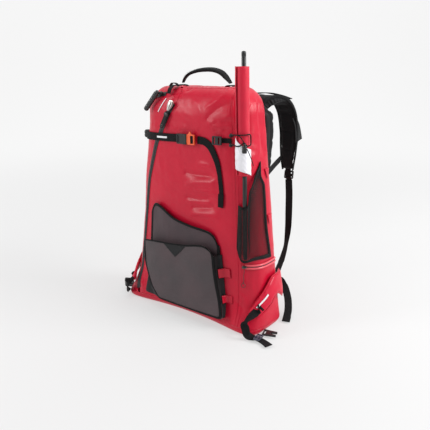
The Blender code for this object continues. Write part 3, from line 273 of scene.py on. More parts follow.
def mesh_point(u, v, extra=0.0):
    """The upper pocket's panel: u across from left to right, v up from its foot."""
    s = mesh_left(0.2) * (1 - u) + mesh_right(0.2) * u
    z = MESH_FOOT + (smooth_value(s, MESH_TOP_S, MESH_TOP_Z) - MESH_FOOT) * v
    s = mesh_left(z) * (1 - u) + mesh_right(z) * u
    belly = min(1.0, 3.2 * u, 3.2 * (1 - u)) ** 0.7
    return skin(s, z, 0.0024 + 0.0110 * belly + extra)


def mesh_border(t, inset):
    """Runs up the left edge, along the top and down the right edge of the upper pocket."""
    k = inset / 0.30
    if t < 0.3:
        return mesh_point(k, t / 0.3 * (1 - k), 0.0021)
    if t < 0.7:
        return mesh_point(k + (t - 0.3) / 0.4 * (1 - 2 * k), 1 - k, 0.0021)
    return mesh_point(1 - k, (1 - (t - 0.7) / 0.3) * (1 - k), 0.0021)


POCKET_TOP_S = (-0.175, -0.166, -0.095, -0.050, 0.020, 0.088, 0.113, 0.124)
POCKET_TOP_Z = (0.219, 0.230, 0.240, 0.243, 0.251, 0.262, 0.253, 0.234)
POCKET_STAND = 0.030


def pocket_left(z):
    return smooth_value(z, (0.03, 0.044, 0.075, 0.12, 0.159, 0.217, 0.26), (-0.098, -0.112, -0.140, -0.160, -0.172, -0.176, -0.174))


def pocket_right(z):
    return smooth_value(z, (0.03, 0.091, 0.147, 0.203, 0.234, 0.26), (0.172, 0.154, 0.139, 0.128, 0.124, 0.116))


def pocket_top(s):
    return smooth_value(s, POCKET_TOP_S, POCKET_TOP_Z)


def pocket_point(u, v, extra=0.0):
    guess = -0.174 * (1 - u) + 0.124 * u
    z = 0.034 + (pocket_top(guess) - 0.034) * v
    s = pocket_left(z) * (1 - u) + pocket_right(z) * u
    edge = min(1.0, 5 * u, 5 * (1 - u), 4 * v + 0.3) ** 0.5
    return skin(s, z, POCKET_STAND - 0.004 + 0.006 * edge + extra)


def pocket_border(t, inset, extra):
    """Runs along the lower pocket's panel, from the top left, down, along the foot and up to the top right."""
    k = inset / 0.28
    if t < 0.28:
        return pocket_point(k, 1 - k - (t / 0.28) * (1 - 2 * k), extra)
    if t < 0.72:
        return pocket_point(k + (t - 0.28) / 0.44 * (1 - 2 * k), k, extra)
    return pocket_point(1 - k, k + (t - 0.72) / 0.28 * (1 - 2 * k), extra)


def gusset_root(t):
    """Where the bellows gusset meets the bag, outside the upper pocket's edge."""
    p = 0.0026
    if t < 0.28:
        z = 0.212 + (0.034 - 0.212) * (t / 0.28)
        return skin(min(mesh_left(z), pocket_left(z)) - 0.006 - 0.004, z, p)
    if t < 0.72:
        u = (t - 0.28) / 0.44
        s = (mesh_left(0.034) - 0.010) * (1 - u) + (mesh_right(0.034) + 0.006) * u
        return skin(s, 0.032, p)
    z = 0.034 + (0.236 - 0.034) * ((t - 0.72) / 0.28)
    return skin(mesh_right(z) + 0.006, z, p)


def pole_at(z):
    k = (z - POLE_FOOT.z) / (POLE_TOP.z - POLE_FOOT.z)
    return POLE_FOOT + (POLE_TOP - POLE_FOOT) * k


def hull(points):
    """Convex outline of flat points, counter-clockwise."""
    pts = sorted(set((round(float(x), 6), round(float(y), 6)) for x, y in points))

    def half(seq):
        out = []
        for p in seq:
            while len(out) > 1 and (out[-1][0] - out[-2][0]) * (p[1] - out[-2][1]) - (out[-1][1] - out[-2][1]) * (p[0] - out[-2][0]) <= 0:
                out.pop()
            out.append(p)
        return out[:-1]

    return half(pts) + half(pts[::-1])


def wrapped(z, off):
    """The pocket's line at height z: from the bag's front corner, tight round the pole, to the side."""
    start, end = 0.188, 0.322
    flat = [skin(s, z, 0.0022)[:2] for s in np.linspace(start, end, 40)]
    fade = 1.0 if z < 0.45 else max(0.0, 1 - (z - 0.45) / 0.08)
    centre = np.array(pole_at(z))[:2]
    near = np.array(flat[12])
    centre = near * (1 - fade) + centre * fade
    reach = (POLE_RADIUS + 0.0030) * fade
    round_it = [centre + reach * np.array([math.cos(t), math.sin(t)]) for t in np.linspace(0, 2 * math.pi, 24, endpoint=False)]
    line = hull(list(flat) + round_it)
    first = min(range(len(line)), key=lambda i: math.dist(line[i], flat[0]))
    line = line[first:] + line[:first]
    last = min(range(len(line)), key=lambda i: math.dist(line[i], flat[-1]))
    line = np.array(line[: last + 1])
    s = np.concatenate([[0], np.cumsum(np.hypot(*np.diff(line, axis=0).T))])
    return s, line


def side_right(z):
    """How far along the pocket's line its back edge is."""
    return smooth_value(z, (0.226, 0.239, 0.344, 0.451, 0.490, 0.531), (0.950, 0.933, 0.800, 0.758, 0.567, 0.508))


def side_point(u, v, extra=0.0):
    """The side pocket: u from its front edge to its back edge, v from its foot to its mouth."""
    foot = smooth_value(u, (0, 0.04, 0.2, 0.55, 1.0), (0.270, 0.256, 0.231, 0.233, 0.227))
    mouth = smooth_value(u, (0, 0.385, 0.405, 0.5, 1.0), (0.400, 0.403, 0.436, 0.462, 0.529))
    z = foot + (mouth - foot) * v
    s, line = wrapped(z, 0.0)
    at = u * side_right(z) * s[-1]
    p = np.array([np.interp(at, s, line[:, 0]), np.interp(at, s, line[:, 1]), z])
    e = 0.004
    q0 = np.array([np.interp(at - e, s, line[:, 0]), np.interp(at - e, s, line[:, 1])])
    q1 = np.array([np.interp(at + e, s, line[:, 0]), np.interp(at + e, s, line[:, 1])])
    d = q1 - q0
    n = np.array([d[1], -d[0], 0.0]) / max(1e-9, np.hypot(*d))
    return p + n * extra


# (0, 0.08, 0.16, 0.22, 0.25, 0.28, 0.31, 0.34, 0.37, 0.40, 0.46, 0.55, 0.65, 0.75, 0.86, 1.0)
def front_path(s0, s1, z0, z1, count):
    return [(s0 + (s1 - s0) * k, z0 + (z1 - z0) * k) for k in np.linspace(0, 1, count)]


BALL = skin(-0.226, 0.580, 0.0125)
FB = skin(-0.0115, STRAP_Z)
BUCKLE_Y = FB[1] - 0.0125
TAIL = [(0.0415, 0.5845), (0.055, 0.584), (0.070, 0.581), (0.090, 0.567), (0.105, 0.543), (0.117, 0.515), (0.126, 0.471), (0.131, 0.428), (0.129, 0.386)]
LOCK_S, LOCK_Z = 0.1180, 0.589
LOCK_N = skin_normal(LOCK_S, LOCK_Z)
LOCK_ALONG = unit(skin(LOCK_S + 0.01, LOCK_Z) - skin(LOCK_S - 0.01, LOCK_Z))
POLE_LENGTH = (POLE_TOP - POLE_FOOT).length
CORD_R = 0.0018
RC = pole_at(0.59) + Vector((ROLL_SHIFT, 0, 0))


def round_roll(turn, z, clear=0.0016):
    r = ROLL_RADIUS + CORD_R + clear
    c = pole_at(z) + Vector((ROLL_SHIFT, 0, 0))
    return np.array([c.x + r * math.cos(turn), c.y + r * math.sin(turn), z])


HIGH, LOW = 0.615, 0.5835
LOCK_TURN = math.radians(-48)
route = [skin(0.158, 0.605, 0.0045), skin(0.168, 0.6065, 0.0085)]
route += [round_roll(math.radians(a), HIGH - 0.000022 * abs(a)) for a in (-150, -120, -90, -60, -30, -5)]
route += [round_roll(math.radians(a), z) for a, z in ((10, HIGH - 0.004), (14, HIGH - 0.012), (14, LOW + 0.010), (10, LOW + 0.003))]
route += [round_roll(math.radians(a), LOW) for a in (-5, -28)]
route += [round_roll(LOCK_TURN, LOW + 0.0085, 0.0030), round_roll(math.radians(-72), LOW + 0.001, 0.0018)]
route += [round_roll(math.radians(a), LOW - 0.002) for a in (-95, -120, -150)]
route += [skin(0.168, 0.5785, 0.0085), skin(0.158, 0.577, 0.0045)]
LOCK_TOP = round_roll(LOCK_TURN, 0.5850, 0.0098)
TAIL_TOP = LOCK_TOP + np.array([0.0092, -0.0010, -0.0080])
tail_route = [TAIL_TOP, TAIL_TOP + [0.0045, -0.001, -0.006], TAIL_TOP + [0.0095, 0.001, -0.018], TAIL_TOP + [0.0160, 0.004, -0.036], TAIL_TOP + [0.0180, 0.006, -0.046]]
HANDLE_Z = 0.7505
HANDLE_Y = 0.012
arch = [(-0.0985, HANDLE_Z), (-0.093, 0.761), (-0.074, 0.777), (-0.039, 0.7875), (-0.002, 0.791), (0.030, 0.7895), (0.058, 0.781), (0.079, 0.764), (0.0925, HANDLE_Z)]
arch = through([(x, HANDLE_Y, z) for x, z in arch], 17)
HANDLE_WIDE = np.interp(np.linspace(0, 1, 17), (0, 0.1, 0.9, 1), (0.010, 0.0175, 0.0175, 0.010))
def mirror_x(p):
    return np.array(p) * np.array([-1.0, 1.0, 1.0])


PAD_LINE = [(0.100, 0.1195, 0.650), (0.106, 0.137, 0.688), (0.121, 0.180, 0.7065), (0.138, 0.228, 0.695), (0.150, 0.258, 0.655), (0.156, 0.270, 0.590), (0.156, 0.271, 0.530), (0.155, 0.273, 0.478), (0.154, 0.277, 0.452)]
PAD_WIDE = (0.060, 0.062, 0.066, 0.068, 0.068, 0.068, 0.064, 0.056, 0.040)
WEB_LINE = [
    (0.154, 0.287, 0.414), (0.155, 0.292, 0.360), (0.156, 0.293, 0.300), (0.160, 0.286, 0.235), (0.170, 0.256, 0.180),
    (0.183, 0.208, 0.142), (0.192, 0.170, 0.1225), (0.1975, 0.150, 0.1155),
]
WEB_FACE = [
    (0.95, 0.3, 0), (0.92, 0.38, 0), (0.92, 0.38, 0), (1, 0.05, 0), (0.8, -0.55, 0.1),
    (0.9, -0.3, 0.1), (1, -0.1, 0), (1, 0, 0),
]
# the webbing turns round the ladder lock's outer bar and comes out below it as the free tail
LOCK_TURNS = [(0.1985, 0.1430, 0.1118), (0.1990, 0.1350, 0.1072), (0.1990, 0.1300, 0.1030), (0.1990, 0.1300, 0.0990), (0.1990, 0.1340, 0.0960), (0.1995, 0.1400, 0.0972)]
TAIL_LINE = [(0.2020, 0.1480, 0.0960), (0.2085, 0.1545, 0.0900), (0.222, 0.1550, 0.075), (0.240, 0.1440, 0.057), (0.262, 0.119, 0.040), (0.281, 0.088, 0.023), (0.293, 0.060, 0.0125), (0.302, 0.036, 0.0065)]
TAIL_FACE = [(1, 0, 0), (0.9, 0.3, 0.3), (0.65, 0.65, 0.4), (0.75, 0.65, 0.1), (0.84, 0.54, 0), (0.86, 0.5, 0), (0.88, 0.47, 0), (0.9, 0.42, 0)]


def along(line, faces, count):
    """Evenly spaced points along a line, with the directions across it."""
    points = through(line, count)
    span = np.concatenate([[0], np.cumsum([math.dist(p, q) for p, q in zip(line, line[1:])])])
    at = np.linspace(0, span[-1], count)
    return list(points), [np.array([np.interp(t, span, [f[k] for f in faces]) for k in range(3)]) for t in at]




# ---------------------------------------------------------------- helpers
def unit_rows(a):
    return a / np.maximum(np.linalg.norm(a, axis=-1, keepdims=True), 1e-9)


def put(name, mesh, material, body, replaces=(), solid=0.0, offset=-1.0, angle=50):
    """Adds a piece that rides on a CAD body and may stand for CAD nodes."""
    made = bpy.data.objects.new(name, mesh)
    scene.collection.objects.link(made)
    mesh.materials.clear()
    mesh.materials.append(material)
    mesh.shade_smooth()
    if angle:
        mesh.set_sharp_from_angle(angle=math.radians(angle))
    if solid:
        shell = made.modifiers.new("thickness", "SOLIDIFY")
        shell.thickness = solid
        shell.offset = offset
        shell.use_even_offset = False
    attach(made, body)
    if replaces:
        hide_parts(*replaces)
    return made


def net(name, points, uv=None, ring=False, centre=None, flip=False):
    """A mesh through a (rows, columns, 3) array of points, with its UV map in metres."""
    points = np.asarray(points, float)
    n, m = points.shape[:2]
    index = np.arange(n * m).reshape(n, m)
    if ring:
        index = np.concatenate([index, index[:, :1]], 1)
    quads = np.stack([index[:-1, :-1], index[:-1, 1:], index[1:, 1:], index[1:, :-1]], -1).reshape(-1, 4)
    if flip:
        quads = quads[:, ::-1]
    faces = [tuple(q) for q in quads.tolist()]
    verts = points.reshape(-1, 3).tolist()
    if centre is not None:
        verts.append(list(centre))
        last = index[-1] if ring else np.append(index[-1], index[-1, 0])
        for a, b in zip(last[:-1].tolist(), last[1:].tolist()):
            faces.append((b, a, n * m) if flip else (a, b, n * m))
    mesh = bpy.data.meshes.new(name)
    mesh.from_pydata(verts, [], faces)
    if uv is None:
        du = np.linalg.norm(np.diff(points, axis=1), axis=2)
        dv = np.linalg.norm(np.diff(points, axis=0), axis=2)
        u = np.concatenate([np.zeros((n, 1)), np.cumsum(du, 1)], 1)
        v = np.concatenate([np.zeros((1, m)), np.cumsum(dv, 0)], 0)
        uv = np.stack([u, v], -1)
    flat = np.asarray(uv, float).reshape(-1, 2)
    if centre is not None:
        flat = np.vstack([flat, flat[-m:].mean(0)])
    layer = mesh.uv_layers.new(name="UVMap")
    corner = np.empty(len(mesh.loops), np.int32)
    mesh.loops.foreach_get("vertex_index", corner)
    layer.data.foreach_set("uv", flat[corner].astype(np.float32).ravel())
    mesh.update()
    return mesh


def turn_out(mesh):
    bm = bmesh.new()
    bm.from_mesh(mesh)
    bmesh.ops.recalc_face_normals(bm, faces=bm.faces)
    bm.to_mesh(mesh)
    bm.free()
    return mesh


def swept(name, points, across, width, thick, profile=None):
    """A closed strip swept along points. The profile is a ring of (across, out) in half widths and
    half thicknesses; across is one direction or one for each point."""
    points = np.asarray(points, float)
    count = len(points)
    across = np.broadcast_to(np.asarray(across, float), (count, 3)).copy()
    width = np.broadcast_to(np.asarray(width, float), (count,))
    thick = np.broadcast_to(np.asarray(thick, float), (count,))
    run = unit_rows(np.gradient(points, axis=0))
    across -= run * (across * run).sum(1, keepdims=True)
    across = unit_rows(across)
    out = np.cross(across, run)
    if profile is None:
        profile = FLAT
    ring = np.array(profile, float)
    rows = (
        points[:, None]
        + across[:, None] * (ring[None, :, :1] * width[:, None, None] / 2)
        + out[:, None] * (ring[None, :, 1:] * thick[:, None, None] / 2)
    )
    s = np.concatenate([[0], np.cumsum(np.linalg.norm(np.diff(points, axis=0), axis=1))])
    u = ring[None, :, 0] * width[:, None] / 2 + 0.5
    uv = np.stack([u, np.broadcast_to(s[:, None], u.shape)], -1)
    mesh = net(name, rows, uv, ring=True)
    bm = bmesh.new()
    bm.from_mesh(mesh)
    bm.verts.ensure_lookup_table()
    m = len(ring)
    bm.faces.new([bm.verts[j] for j in range(m)][::-1])
    bm.faces.new([bm.verts[(count - 1) * m + j] for j in range(m)])
    bmesh.ops.recalc_face_normals(bm, faces=bm.faces)
    bm.to_mesh(mesh)
    bm.free()
    return mesh


def rounded_ring(flat, ends):
    """A strip's section: flat faces with fine steps across, and round edges."""
    made = [(x, 1.0) for x in np.linspace(0.93, -0.93, flat)]
    made += [(-0.93 - 0.07 * math.sin(t), math.cos(t)) for t in np.linspace(0, math.pi, ends + 2)[1:-1]]
    made += [(x, -1.0) for x in np.linspace(-0.93, 0.93, flat)]
    made += [(0.93 + 0.07 * math.sin(t), -math.cos(t)) for t in np.linspace(0, math.pi, ends + 2)[1:-1]]
    return made


FLAT = rounded_ring(9, 3)
ROUND = [(math.cos(t), math.sin(t)) for t in np.linspace(0, 2 * math.pi, 12, endpoint=False)]


def rope(name, points, radius, sides=12):
    """A closed tube along points."""
    points = np.asarray(points, float)
    run = unit_rows(np.gradient(points, axis=0))
    side = np.cross(run[0], [0.0, 0.0, 1.0])
    if np.linalg.norm(side) < 0.1:
        side = np.cross(run[0], [1.0, 0.0, 0.0])
    sides_of = [unit(side)]
    for t in run[1:]:
        s = sides_of[-1] - t * np.dot(sides_of[-1], t)
        sides_of.append(unit(s))
    radius = np.broadcast_to(np.asarray(radius, float), (len(points),))
    ring = [(math.cos(t), math.sin(t)) for t in np.linspace(0, 2 * math.pi, sides, endpoint=False)]
    return swept(name, points, np.array(sides_of), radius * 2, radius * 2, ring)


def lathe(name, profile, matrix, steps=40):
    """A turned piece: profile points (radius, height) from the top down the outside."""
    turns = np.linspace(0, 2 * math.pi, steps, endpoint=False)
    body = [(r, h) for r, h in profile if r > 1e-7]
    rows = np.array([[(r * math.cos(t), r * math.sin(t), h) for t in turns] for r, h in body])
    mesh = net(name, rows, ring=True)
    bm = bmesh.new()
    bm.from_mesh(mesh)
    bm.verts.ensure_lookup_table()
    bm.faces.new([bm.verts[j] for j in range(steps)])
    bm.faces.new([bm.verts[(len(body) - 1) * steps + j] for j in range(steps)][::-1])
    bmesh.ops.recalc_face_normals(bm, faces=bm.faces)
    bm.to_mesh(mesh)
    bm.free()
    mesh.transform(matrix)
    return mesh


def place_axes(along_x, normal, centre):
    x = Vector(along_x).normalized()
    z = Vector(normal)
    z = (z - x * z.dot(x)).normalized()
    y = z.cross(x)
    m = Matrix((x, y, z)).transposed().to_4x4()
    m.translation = Vector(centre)
    return m


def rounded(length, width, radius, steps=5, shift=(0.0, 0.0)):
    made = []
    for cx, cy, start in ((1, 1, 0), (-1, 1, 90), (-1, -1, 180), (1, -1, 270)):
        for k in range(steps + 1):
            a = math.radians(start + 90 * k / steps)
            made.append((cx * (length / 2 - radius) + radius * math.cos(a) + shift[0], cy * (width / 2 - radius) + radius * math.sin(a) + shift[1]))
    return made


def flat_plate(name, outlines, thickness, matrix, bevel=0.0006):
    """A flat plate with rounded rims, from outlines: the first outside, the others holes."""
    curve = bpy.data.curves.new(name, "CURVE")
    curve.dimensions = "2D"
    curve.fill_mode = "BOTH"
    curve.extrude = max(0.0, thickness / 2 - bevel)
    curve.bevel_depth = bevel
    curve.bevel_resolution = 2
    curve.offset = -bevel
    for outline in outlines:
        spline = curve.splines.new("POLY")
        spline.points.add(len(outline) - 1)
        for point, (x, y) in zip(spline.points, outline):
            point.co = (x, y, 0, 1)
        spline.use_cyclic_u = True
    holder = bpy.data.objects.new(name + "_outline", curve)
    scene.collection.objects.link(holder)
    graph = bpy.context.evaluated_depsgraph_get()
    mesh = bpy.data.meshes.new_from_object(holder.evaluated_get(graph))
    mesh.name = name
    bpy.data.objects.remove(holder)
    bm = bmesh.new()
    bm.from_mesh(mesh)
    bmesh.ops.remove_doubles(bm, verts=bm.verts, dist=0.00002)
    bmesh.ops.recalc_face_normals(bm, faces=bm.faces)
    bm.to_mesh(mesh)
    bm.free()
    mesh.transform(matrix)
    return mesh


def box_mesh(name, size, matrix, bevel=0.0008, segments=2):
    mesh = bpy.data.meshes.new(name)
    bm = bmesh.new()
    bmesh.ops.create_cube(bm, size=1.0)
    bmesh.ops.scale(bm, vec=size, verts=bm.verts)
    if bevel:
        bmesh.ops.bevel(bm, geom=list(bm.edges), offset=bevel, segments=segments, affect="EDGES", profile=0.5)
    bm.to_mesh(mesh)
    bm.free()
    mesh.transform(matrix)
    return mesh


def joined(name, meshes):
    """One mesh from several, keeping their UV maps."""
    bm = bmesh.new()
    for mesh in meshes:
        bm.from_mesh(mesh)
    made = bpy.data.meshes.new(name)
    bm.to_mesh(made)
    bm.free()
    return made


def stitch_line(points, normals, pitch=0.0032, length=0.0021, width=0.0005, high=0.0004):
    """A row of stitches, each a small rounded bar that lies along the line of points."""
    points, normals = np.asarray(points, float), np.asarray(normals, float)
    s = np.concatenate([[0], np.cumsum(np.linalg.norm(np.diff(points, axis=0), axis=1))])
    count = max(1, int(s[-1] / pitch))
    verts, faces = [], []
    for k in range(count):
        at = (k + 0.5) * s[-1] / count
        ends = []
        for d in (-length / 2, -length * 0.3, length * 0.3, length / 2):
            ends.append(np.array([np.interp(at + d, s, points[:, i]) for i in range(3)]))
        n = unit([np.interp(at, s, normals[:, i]) for i in range(3)])
        run = unit(ends[-1] - ends[0])
        side = np.cross(n, run)
        base = len(verts)
        for p, lift in zip(ends, (0.0, 1.0, 1.0, 0.0)):
            for x, y in ((-0.5, -0.6), (0.5, -0.6), (0.5, 0.2), (0.0, 1.0), (-0.5, 0.2)):
                verts.append(p + side * x * width + n * (y * high * (0.35 + 0.65 * lift)))
        for row in range(3):
            for j in range(5):
                a, b = base + row * 5 + j, base + row * 5 + (j + 1) % 5
                faces.append((a, b, b + 5, a + 5))
        faces.append(tuple(base + j for j in range(4, -1, -1)))
        faces.append(tuple(base + 15 + j for j in range(5)))
    return verts, faces


def stitches(name, lines, material, body, **sizes):
    verts, faces = [], []
    for points, normals in lines:
        v, f = stitch_line(points, normals, **sizes)
        base = len(verts)
        verts += v
        faces += [tuple(base + i for i in q) for q in f]
    mesh = bpy.data.meshes.new(name)
    mesh.from_pydata([list(v) for v in verts], [], faces)
    return put(name, turn_out(mesh), material, body, angle=0)


def waves(points, size, seed, octaves=3):
    """Smooth noise in about -1..1 at points, the same on every run: crossed sine waves."""
    points = np.asarray(points, float)
    dim = points.shape[-1]
    source = np.random.default_rng(seed)
    total = np.zeros(points.shape[:-1])
    weight = 1.0
    for octave in range(octaves):
        for _ in range(6):
            direction = source.normal(size=dim)
            direction /= np.linalg.norm(direction)
            k = 2 * math.pi / (size * source.uniform(0.7, 1.5)) * 1.9 ** octave
            total += weight * np.sin(points @ direction * k + source.uniform(0, 2 * math.pi)) / 6
        weight *= 0.5
    return total * 1.25


def near_path(s, z, path):
    """Distance from points of the surface to a path of (girth, height)."""
    best = np.full(np.shape(s), 9.0)
    for (s0, z0), (s1, z1) in zip(path, path[1:]):
        ds, dz = s1 - s0, z1 - z0
        t = np.clip(((s - s0) * ds + (z - z0) * dz) / (ds * ds + dz * dz), 0, 1)
        best = np.minimum(best, np.hypot(s - s0 - ds * t, z - z0 - dz * t))
    return best


def fade(x, low, high):
    t = np.clip((x - low) / (high - low), 0, 1)
    return t * t * (3 - 2 * t)


# ---------------------------------------------------------------- materials
class Look:
    """A node material, built from a Principled shader and procedural textures."""

    def __init__(self, name, colour=(0.5, 0.5, 0.5), rough=0.5, metal=0.0, sheen=0.0, coat=0.0, coat_rough=0.2, specular=0.5):
        self.material = bpy.data.materials.new(name)
        self.material.use_nodes = True
        self.tree = self.material.node_tree
        self.shader = self.tree.nodes["Principled BSDF"]
        s = self.shader.inputs
        s["Base Color"].default_value = (*colour, 1)
        s["Roughness"].default_value = rough
        s["Metallic"].default_value = metal
        s["Sheen Weight"].default_value = sheen
        s["Sheen Roughness"].default_value = 0.4
        s["Coat Weight"].default_value = coat
        s["Coat Roughness"].default_value = coat_rough
        s["Specular IOR Level"].default_value = specular
        self.colour = colour

    def node(self, kind, **values):
        made = self.tree.nodes.new(kind)
        for key, value in values.items():
            if key.startswith("i_"):
                made.inputs[key[2:].replace("_", " ")].default_value = value
            else:
                setattr(made, key, value)
        return made

    def link(self, out, into):
        self.tree.links.new(out, into)
        return out

    def place(self, kind="Object", scale=(1, 1, 1), turn=0.0):
        source = self.node("ShaderNodeTexCoord")
        mapping = self.node("ShaderNodeMapping")
        mapping.inputs["Scale"].default_value = scale
        mapping.inputs["Rotation"].default_value = (0, 0, turn)
        self.link(source.outputs[kind], mapping.inputs["Vector"])
        return mapping.outputs["Vector"]

    def noise(self, vector, scale, detail=3.0, rough=0.55):
        made = self.node("ShaderNodeTexNoise")
        made.inputs["Scale"].default_value = scale
        made.inputs["Detail"].default_value = detail
        made.inputs["Roughness"].default_value = rough
        self.link(vector, made.inputs["Vector"])
        return made.outputs["Fac"]

    def wave(self, vector, scale, direction="X", profile="SIN", bands="BANDS", distort=0.0):
        made = self.node("ShaderNodeTexWave")
        made.wave_type = bands
        made.bands_direction = direction
        made.wave_profile = profile
        made.inputs["Scale"].default_value = scale
        made.inputs["Distortion"].default_value = distort
        self.link(vector, made.inputs["Vector"])
        return made.outputs["Fac"]

    def cells(self, vector, scale, feature="F1", randomness=1.0):
        made = self.node("ShaderNodeTexVoronoi")
        made.feature = feature
        made.inputs["Scale"].default_value = scale
        made.inputs["Randomness"].default_value = randomness
        self.link(vector, made.inputs["Vector"])
        return made.outputs["Distance"]

    def math(self, kind, a, b=None, c=None):
        made = self.node("ShaderNodeMath")
        made.operation = kind
        for i, x in enumerate((a, b, c)):
            if x is None:
                continue
            if isinstance(x, (int, float)):
                made.inputs[i].default_value = x
            else:
                self.link(x, made.inputs[i])
        return made.outputs[0]

    def ramp(self, value, stops):
        made = self.node("ShaderNodeValToRGB")
        ramp = made.color_ramp
        while len(ramp.elements) < len(stops):
            ramp.elements.new(0.5)
        for element, (at, colour) in zip(ramp.elements, stops):
            element.position = at
            element.color = (*colour, 1) if len(colour) == 3 else colour
        self.link(value, made.inputs["Fac"])
        return made.outputs["Color"]

    def span(self, value, low, high, to_low, to_high):
        made = self.node("ShaderNodeMapRange")
        made.inputs["From Min"].default_value = low
        made.inputs["From Max"].default_value = high
        made.inputs["To Min"].default_value = to_low
        made.inputs["To Max"].default_value = to_high
        self.link(value, made.inputs["Value"])
        return made.outputs["Result"]

    def mix(self, factor, a, b, kind="MIX"):
        made = self.node("ShaderNodeMix")
        made.data_type = "RGBA"
        made.blend_type = kind
        for key, x in (("Factor", factor), ("A", a), ("B", b)):
            socket = next(i for i in made.inputs if i.name == key and (i.type == "RGBA" or key == "Factor" and i.type == "VALUE"))
            if isinstance(x, (int, float)):
                socket.default_value = x
            elif isinstance(x, tuple):
                socket.default_value = (*x, 1)
            else:
                self.link(x, socket)
        return next(o for o in made.outputs if o.type == "RGBA")

    def bumps(self, *layers):
        """layers: (height, strength, distance)"""
        normal = None
        for height, strength, distance in layers:
            made = self.node("ShaderNodeBump")
            made.inputs["Strength"].default_value = strength
            made.inputs["Distance"].default_value = distance
            self.link(height, made.inputs["Height"])
            if normal is not None:
                self.link(normal, made.inputs["Normal"])
            normal = made.outputs["Normal"]
        self.link(normal, self.shader.inputs["Normal"])

    def paint(self, colour):
        self.link(colour, self.shader.inputs["Base Color"])

    def roughen(self, value):
        self.link(value, self.shader.inputs["Roughness"])


def shade(colour, k):
    return tuple(min(1.0, c * k) for c in colour)


def coated_fabric(name, colour, rough=0.34, coat=0.06):
    """Coated cloth: a fine plain weave under a smooth film, with faint scuffs."""
    look = Look(name, colour, rough, coat=coat, coat_rough=0.24, specular=0.30)
    at = look.place("Object")
    broad = look.noise(at, 7.0, 4.0)
    fine = look.noise(at, 90.0, 4.0, 0.65)
    mixed = look.mix(look.span(broad, 0.3, 0.7, 0.0, 1.0), shade(colour, 0.90), shade(colour, 1.07))
    mixed = look.mix(look.span(fine, 0.35, 0.75, 0.0, 0.16), mixed, shade(colour, 1.35))
    look.paint(mixed)
    uv = look.place("UV", (1, 1, 1))
    warp = look.wave(uv, 420.0, "X")
    weft = look.wave(uv, 420.0, "Y")
    weave = look.math("MULTIPLY", warp, weft)
    scuff = look.noise(look.place("Object", (1, 1, 0.35)), 260.0, 3.0)
    look.roughen(look.span(look.math("ADD", look.math("MULTIPLY", fine, 0.6), look.math("MULTIPLY", scuff, 0.4)), 0.3, 0.7, rough - 0.05, rough + 0.12))
    look.bumps((weave, 0.25, 0.00012), (scuff, 0.12, 0.0002), (look.noise(at, 34.0, 3.0), 0.22, 0.0012))
    return look.material


def webbing_look(name, colour, pitch=0.0016, sheen=0.03):
    """Woven strap: ribs along it, crossed by the weft in a herringbone."""
    look = Look(name, colour, 0.72, sheen=sheen, specular=0.16)
    uv = look.place("UV")
    k = 0.31416 / pitch
    rib = look.wave(uv, k, "X", distort=0.0)
    slant = look.wave(look.place("UV", (1, 1, 1), math.radians(38)), k * 1.25, "Y")
    back = look.wave(look.place("UV", (1, 1, 1), math.radians(-38)), k * 1.25, "Y")
    which = look.math("GREATER_THAN", rib, 0.5)
    twill = look.math("ADD", look.math("MULTIPLY", slant, which), look.math("MULTIPLY", back, look.math("SUBTRACT", 1.0, which)))
    thread = look.noise(look.place("UV", (900, 160, 1)), 1.0, 2.0)
    wear = look.noise(look.place("Object"), 26.0, 4.0)
    tone = look.mix(look.span(twill, 0.1, 0.9, 0.0, 1.0), shade(colour, 0.55), shade(colour, 1.5))
    tone = look.mix(look.span(wear, 0.45, 0.8, 0.0, 0.35), tone, shade(colour, 2.4))
    look.paint(tone)
    look.roughen(look.span(thread, 0.3, 0.7, 0.62, 0.85))
    look.bumps((twill, 0.6, 0.00035), (thread, 0.25, 0.0002))
    return look.material


def moulded(name, colour, rough=0.42, grain=0.35, coat=0.0):
    """Injection-moulded plastic: a fine spark texture, rubbed smoother in places."""
    look = Look(name, colour, rough, coat=coat)
    at = look.place("Object")
    spark = look.noise(at, 1500.0, 2.0)
    rub = look.noise(at, 60.0, 4.0)
    look.paint(look.mix(look.span(rub, 0.45, 0.8, 0.0, 0.5), colour, shade(colour, 1.9)))
    look.roughen(look.span(rub, 0.3, 0.7, rough - 0.07, rough + 0.12))
    look.bumps((spark, grain, 0.00008), (rub, 0.12, 0.0003))
    return look.material


def fine_mesh_look(name, thread, hole, pitch=0.0016):
    """Close-knit pocket mesh: pale threads round dark pinholes in staggered rows."""
    look = Look(name, thread, 0.62, sheen=0.15, specular=0.4)
    uv = look.place("UV")
    k = 0.31416 / pitch
    a = look.wave(look.place("UV", (1, 1, 1), math.radians(45)), k * 1.0, "X")
    b = look.wave(look.place("UV", (1, 1, 1), math.radians(45)), k * 1.0, "Y")
    cross = look.math("MULTIPLY", a, b)
    big = look.noise(look.place("Object"), 9.0, 3.0)
    tiny = look.noise(look.place("Object"), 420.0, 2.0)
    tone = look.mix(look.span(cross, 0.25, 0.7, 0.0, 1.0), thread, hole)
    tone = look.mix(look.span(big, 0.35, 0.7, 0.0, 0.35), tone, (0.115, 0.058, 0.066))
    tone = look.mix(look.span(tiny, 0.4, 0.7, 0.0, 0.25), tone, shade(thread, 1.7))
    look.paint(tone)
    look.bumps((cross, -0.5, 0.0003), (tiny, 0.2, 0.0002), (look.noise(look.place("Object"), 22.0, 3.0), 0.2, 0.0015))
    return look.material


